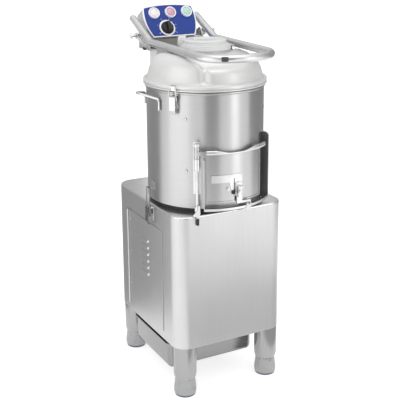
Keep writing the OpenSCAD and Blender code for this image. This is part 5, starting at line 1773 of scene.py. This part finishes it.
@dataclass
class ControlHead:
    """The control box: housing, rim, panel, bezels, caps, knob and its dial."""

    tools: Tools
    bottom: float = -49.0
    top: float = 41.5
    arch: float = 6.0
    bow: float = 110.0
    depth: float = 50.0
    row_u: tuple[float, ...] = (-42.0, 4.0, 50.0)
    row_v: float = 17.5
    knob: Flat = (-15.0, -24.5)
    cap: float = 11.2
    hole_gap: float = 0.3
    tick_r: float = 22.4
    number_r: float = 27.6
    dial_start: float = 210.0
    dial_step: float = 24.0

    def outline(self, grow: float) -> list[Flat]:
        """The face's outline, grown outwards: bowed sides, arched top and straight foot."""
        reach = lambda v: math.sqrt((self.bow + grow) ** 2 - (v - 5.0) ** 2) - 37.0
        crown = lambda u: self.top + grow - self.arch * (u / 66.0) ** 2
        corner = self.top
        for _ in range(12):
            corner = crown(reach(corner))
        foot = self.bottom - grow
        side = [(reach(v), v) for v in (foot + (corner - foot) * i / 28 for i in range(29))]
        tips = reach(corner)
        over = [(u, crown(u)) for u in (tips - 2 * tips * i / 32 for i in range(1, 32))]
        return side + over + [(-u, v) for u, v in reversed(side)]

    def housing(self) -> Stock:
        """The moulded box behind the panel, open to the front."""
        back = -self.depth
        path = [(-12.0, back + 2.2), (-5.0, back + 2.6), (-3.5, back + 6.0), (-3.5, -3.0),
                (-1.5, -3.0), (-1.5, back + 6.0), (-2.6, back + 2.0), (-5.5, back)]
        stock = Stock()
        with stock.at(panel_place()):
            stock.loft([level(self.outline(g), z) for g, z in path])
        return stock

    def rim(self) -> Stock:
        """The white rim round the panel."""
        path = [(0.0, -3.0), (0.0, 0.7), (-0.5, 1.3), (-1.2, 1.5), (-2.2, 1.5), (-2.8, 1.2),
                (-3.0, 0.6), (-3.0, -3.0)]
        stock = Stock()
        with stock.at(panel_place()):
            stock.loft([level(self.outline(g), z) for g, z in path], along=True)
        return stock

    def panel(self) -> Stock:
        """The blue panel with its holes."""
        holes = [arc((u, self.row_v), self.cap + self.hole_gap, 0, 352.5, 47)
                 for u in self.row_u]
        holes.append(arc(self.knob, 4.0, 0, 345, 23))
        stock = Stock()
        with stock.at(panel_place()):
            stock.plate(self.outline(-3.05), -2.5, 0.5, holes)
        return stock

    def bezels(self) -> Stock:
        """The collars round the three caps and the flat ring under the knob."""
        stock = Stock()
        r = self.cap + self.hole_gap
        for u in self.row_u:
            with stock.at(panel_place() @ Matrix.Translation((u, self.row_v, 0))):
                stock.turned([(r, 0.5), (r + 3.6, 0.5), (r + 3.8, 0.9), (r + 3.3, 5.0),
                              (r + 2.7, 6.0), (r + 1.6, 6.3), (r + 0.6, 5.8), (r, 4.6)], 64,
                             closed=True)
        with stock.at(panel_place() @ Matrix.Translation((*self.knob, 0))):
            stock.turned([(17.2, 0.5), (21.4, 0.5), (21.7, 0.8), (21.3, 1.5), (20.6, 1.7),
                          (17.8, 1.7), (17.2, 1.3)], 80, closed=True)
        return stock

    def button(self, u: float, grow: float = 0.0) -> Stock:
        """A domed cap in its collar, with the ring that its lens is held by."""
        r = self.cap + grow
        stock = Stock()
        with stock.at(panel_place() @ Matrix.Translation((u, self.row_v, 0))):
            stock.turned([(0, -8), (r - 1.2, -8), (r, -7), (r, 3.8), (r - 0.5, 4.7),
                          (r - 1.3, 5.0), (r - 1.8, 4.7), (r - 2.4, 5.2), (r - 4.4, 5.9),
                          (r - 7.4, 6.3), (0, 6.4)], 64)
        return stock

    def timer(self) -> Stock:
        """The knob: a skirt, a drum and a waisted grip across it, on its shaft."""
        stock = Stock()
        with stock.at(panel_place() @ Matrix.Translation((*self.knob, 0))):
            stock.turned([(0, -14), (2.6, -14), (3, -13.5), (3, 0.9), (16.0, 0.9), (16.5, 1.4),
                          (16.5, 2.7), (16.0, 3.3), (15.2, 3.8), (14.4, 8.0), (13.4, 9.2),
                          (0, 9.6)], 80)
            rings = []
            for shrink, z in ((1.0, 8.6), (0.98, 14.5), (0.94, 16.6), (0.84, 17.5)):
                half = [(4.2 + 1.4 * abs(math.sin(b)) ** 2, 13.2 * math.sin(b))
                        for b in (math.radians(-78 + 156 * i / 20) for i in range(21))]
                ring = [(u * shrink, v * shrink) for u, v in half]
                rings.append(level(ring + [(-u, v) for u, v in reversed(ring)], z))
            stock.loft(rings)
        return stock

    def marks(self) -> Stock:
        """The ticks round the dial, which also holds its plain numbers."""
        stock = Stock()
        for i in range(11):
            a = math.radians(self.dial_start - self.dial_step * i)
            long = 2.4 if i % 2 == 0 else 1.4
            with stock.at(panel_place() @ Matrix.Translation((*self.knob, 0))
                          @ Matrix.Rotation(a, 4, "Z")):
                stock.block((self.tick_r, -0.28, 0.45), (self.tick_r + long, 0.28, 0.62))
        return stock

    def numbers(self) -> bpy.types.Mesh:
        """The dial's plain numbers, as one mesh in the row frame."""
        joined = bmesh.new()
        for i in range(6):
            curve = bpy.data.curves.new("number", "FONT")
            curve.body, curve.size, curve.extrude = str(i), 4.6, 0.08
            curve.align_x, curve.align_y = "CENTER", "CENTER"
            carrier = bpy.data.objects.new("number", curve)
            bpy.context.collection.objects.link(carrier)
            seen = carrier.evaluated_get(bpy.context.evaluated_depsgraph_get())
            mesh = bpy.data.meshes.new_from_object(seen)
            a = math.radians(self.dial_start - 2 * self.dial_step * i)
            spot = (self.knob[0] + self.number_r * math.cos(a),
                    self.knob[1] + self.number_r * math.sin(a), 0.55)
            mesh.transform(Matrix.Translation((0, SHIFT * MM, 0)) @ Matrix.Scale(MM, 4)
                           @ panel_place() @ Matrix.Translation(spot))
            joined.from_mesh(mesh)
            bpy.data.objects.remove(carrier)
        out = bpy.data.meshes.new("dial_numbers")
        joined.to_mesh(out)
        joined.free()
        return out

    def build(self) -> None:
        """Makes the head's pieces."""
        shop = self.tools.shop
        shop.cut(self.housing(), "head_housing", "base", "grey_plastic", Look.GREY,
                 ("control_housing",), Edge.FINE)
        shop.cut(self.rim(), "head_rim", "base", "white_plastic", Look.WHITE, ("control_rim",),
                 Edge.RAW)
        shop.cut(self.panel(), "head_panel", "base", "blue_panel", Look.BLUE,
                 ("control_panel",))
        shop.cut(self.bezels(), "head_bezels", "base", "white_plastic", Look.WHITE,
                 ("control_bezels",), Edge.RAW)
        shop.cut(self.button(self.row_u[0], 0.25), "lamp_lens", "base", "white_plastic",
                 Look.LAMP, ("power_lamp",), Edge.RAW)
        shop.cut(self.button(self.row_u[1]), "stop_cap", "stop", "stop_red", Look.STOP,
                 ("stop_button",), Edge.RAW)
        shop.cut(self.button(self.row_u[2]), "start_cap", "start", "start_green", Look.START,
                 ("start_button",), Edge.RAW)
        shop.cut(self.timer(), "timer_grip", "timer", "black_plastic", Look.BLACK,
                 ("timer_knob",), Edge.EASED)
        shop.cut(self.marks(), "dial_ticks", "base", "white_plastic", Look.WHITE, edge=Edge.RAW)
        shop.finish(self.numbers(), "dial_numbers", "base", "white_plastic", Look.WHITE,
                    edge=Edge.RAW)
        shop.dress(Look.BLACK, "control_switches")


@dataclass
class Drive:
    """What turns inside: disc, spindle, pulleys, belt and motor."""

    tools: Tools

    def build(self) -> None:
        """Dresses the CAD nodes, which stay as they are."""
        shop = self.tools.shop
        shop.dress(Look.GRIT, "abrasive_disc")
        shop.dress(Look.TURNED, "spindle", "spindle_bearings", "motor_rotor")
        shop.dress(Look.CAST, "bearing_housing", "driven_pulley", "motor_pulley")
        shop.dress(Look.RUBBER, "drive_belt")
        shop.dress(Look.ENAMEL, "motor_frame")
        shop.dress(Look.SHEET, "motor_mount")


@dataclass(frozen=True)
class Softbox:
    """A soft light: where it stands round the peeler, its size and how brightly it glows."""

    name: str
    azimuth: float
    distance: float
    height: float
    width: float
    tall: float
    glow: float

    def place(self, aim: Vector) -> None:
        """Sets it up, turned towards the aim."""
        lamp = bpy.data.lights.new(self.name, "AREA")
        lamp.shape, lamp.size, lamp.size_y = "RECTANGLE", self.width, self.tall
        lamp.energy = self.glow * math.pi * self.width * self.tall
        stand = bpy.data.objects.new(self.name, lamp)
        a = math.radians(self.azimuth)
        spot = Vector((self.distance * math.cos(a), self.distance * math.sin(a) + SHIFT * MM,
                       self.height))
        away = (spot - aim).normalized()
        stand.matrix_world = (Matrix.Translation(spot)
                              @ away.to_track_quat("Z", "Y").to_matrix().to_4x4())
        bpy.context.collection.objects.link(stand)


@dataclass(frozen=True)
class Flag:
    """A grey card beside the peeler, which only its reflections show."""

    name: str
    azimuth: float
    distance: float
    width: float
    tall: float
    tone: float
    foot: float = 0.0

    def place(self) -> None:
        """Sets the card up, curved round the peeler, its foot drawn in where one is given."""
        a, half = math.radians(self.azimuth), self.width / self.distance / 2
        turns = [a - half + 2 * half * i / 12 for i in range(13)]
        mesh = bpy.data.meshes.new(self.name)
        mesh.from_pydata([(r * math.cos(b), r * math.sin(b) + SHIFT * MM, z)
                          for r, z in ((self.foot or self.distance, 0.02),
                                       (self.distance, self.tall)) for b in turns], [],
                         [(i, i + 1, i + 14, i + 13) for i in range(12)])
        paint = Paint(self.name + "_cloth")
        weave = paint.noise(paint.where, 60.0, 2.0)
        paint.set(Base_Color=paint.blend(weave, grey(self.tone * 0.9), grey(self.tone)),
                  Roughness=weave * 0.1 + 0.85)
        mesh.materials.append(paint.material)
        card = bpy.data.objects.new(self.name, mesh)
        card.visible_camera = False
        card.visible_shadow = False
        card.visible_diffuse = False
        bpy.context.collection.objects.link(card)


@dataclass
class Studio:
    """The pale floor, the soft lights, the grey cards and the camera."""

    eye: Point = (-983.5, -1873.9, 1117.4)
    aim: Point = (0.0, 0.0, 579.6)
    roll: float = -0.39
    lens: float = 78.4
    shift_x: float = 0.00725
    shift_y: float = -0.135
    horizon: float = 0.52
    zenith: float = 1.15
    floor_glow: float = 0.68
    lights: tuple[Softbox, ...] = (
        Softbox("broad_left", -168, 2.4, 1.0, 1.9, 2.0, 0.8),
        Softbox("strip_right", -61, 2.4, 1.0, 0.66, 2.0, 1.45),
        Softbox("overhead", -100, 0.9, 2.9, 2.4, 2.4, 1.05),
    )
    flags: tuple[Flag, ...] = (
        Flag("flag_rear_left", 126, 0.40, 0.54, 0.80, 0.50),
        Flag("flag_right", 9, 1.5, 2.0, 2.0, 0.32),
        Flag("flag_front", -105.5, 1.9, 0.88, 2.0, 0.12),
        Flag("flag_low", -62, 0.6, 1.0, 0.15, 0.74, 0.3),
    )

    def floor(self) -> None:
        """A pale floor that fills the view."""
        radius, sides = 40.0, 64
        mesh = bpy.data.meshes.new("floor")
        ring = [(radius * math.cos(math.tau * i / sides), radius * math.sin(math.tau * i / sides),
                 0.0) for i in range(sides)]
        mesh.from_pydata(ring, [], [tuple(range(sides))])
        paint = Paint("floor_paint")
        mottle = paint.noise(paint.where, 3.0, 2.0)
        paint.set(Base_Color=paint.blend(mottle, grey(0.59), grey(0.61)),
                  Roughness=mottle * 0.1 + 0.8, Emission_Color=grey(1.0),
                  Emission_Strength=self.floor_glow)
        mesh.materials.append(paint.material)
        piece = bpy.data.objects.new("floor", mesh)
        bpy.context.collection.objects.link(piece)

    def sky(self) -> None:
        """Even light from all round, brighter from above."""
        world = bpy.data.worlds.new("studio")
        bpy.context.scene.world = world
        world.use_nodes = True
        tree = world.node_tree
        back = tree.nodes["Background"]
        back.inputs["Color"].default_value = (1.0, 1.0, 1.0, 1.0)
        where = tree.nodes.new("ShaderNodeTexCoord")
        split = tree.nodes.new("ShaderNodeSeparateXYZ")
        ramp = tree.nodes.new("ShaderNodeMapRange")
        tree.links.new(where.outputs["Generated"], split.inputs[0])
        tree.links.new(split.outputs["Z"], ramp.inputs["Value"])
        ramp.inputs["To Min"].default_value = self.horizon
        ramp.inputs["To Max"].default_value = self.zenith
        tree.links.new(ramp.outputs[0], back.inputs["Strength"])

    def camera(self) -> None:
        """The camera, at the photograph's place."""
        data = bpy.data.cameras.new("camera")
        data.lens, data.sensor_width, data.sensor_fit = self.lens, 36.0, "HORIZONTAL"
        data.shift_x, data.shift_y = self.shift_x, self.shift_y
        data.clip_end = 200.0
        eye, aim = (Vector((x, y + SHIFT, z)) * MM for x, y, z in (self.eye, self.aim))
        ahead = (aim - eye).normalized()
        right = ahead.cross(Vector((0, 0, 1))).normalized()
        up = right.cross(ahead)
        c, s = math.cos(math.radians(self.roll)), math.sin(math.radians(self.roll))
        turn = Matrix((right * c + up * s, up * c - right * s, -ahead)).transposed()
        body = bpy.data.objects.new("camera", data)
        body.matrix_world = Matrix.Translation(eye) @ turn.to_4x4()
        bpy.context.collection.objects.link(body)
        bpy.context.scene.camera = body

    def build(self) -> None:
        """Sets up everything round the object."""
        self.floor()
        self.sky()
        self.camera()
        aim = Vector((self.aim[0], self.aim[1] + SHIFT, self.aim[2])) * MM
        for light in self.lights:
            light.place(aim)
        for flag in self.flags:
            flag.place()
        bpy.context.scene.view_settings.view_transform = "Standard"


def main() -> None:
    """Builds the sub-assemblies in order and the studio round them."""
    logging.basicConfig(level=logging.INFO, format="%(name)s: %(message)s")
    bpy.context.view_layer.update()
    tools = Tools()
    Studio().build()
    for maker in (Pedestal, SideDoor, Legs, PeelTray, Barrel, Outlet, Latches, Hood, FeedLid,
                  TubeFrame, RearColumn, ControlHead, Drive):
        first = len(tools.shop.done)
        maker(tools).build()
        for piece in tools.shop.done[first:]:
            LOG.info("%s: %s rides on %s, %d faces, stands for %s", maker.__name__, piece.name,
                     piece.body, piece.faces, ", ".join(piece.nodes) or "no node")


if __name__ == "__main__":
    main()
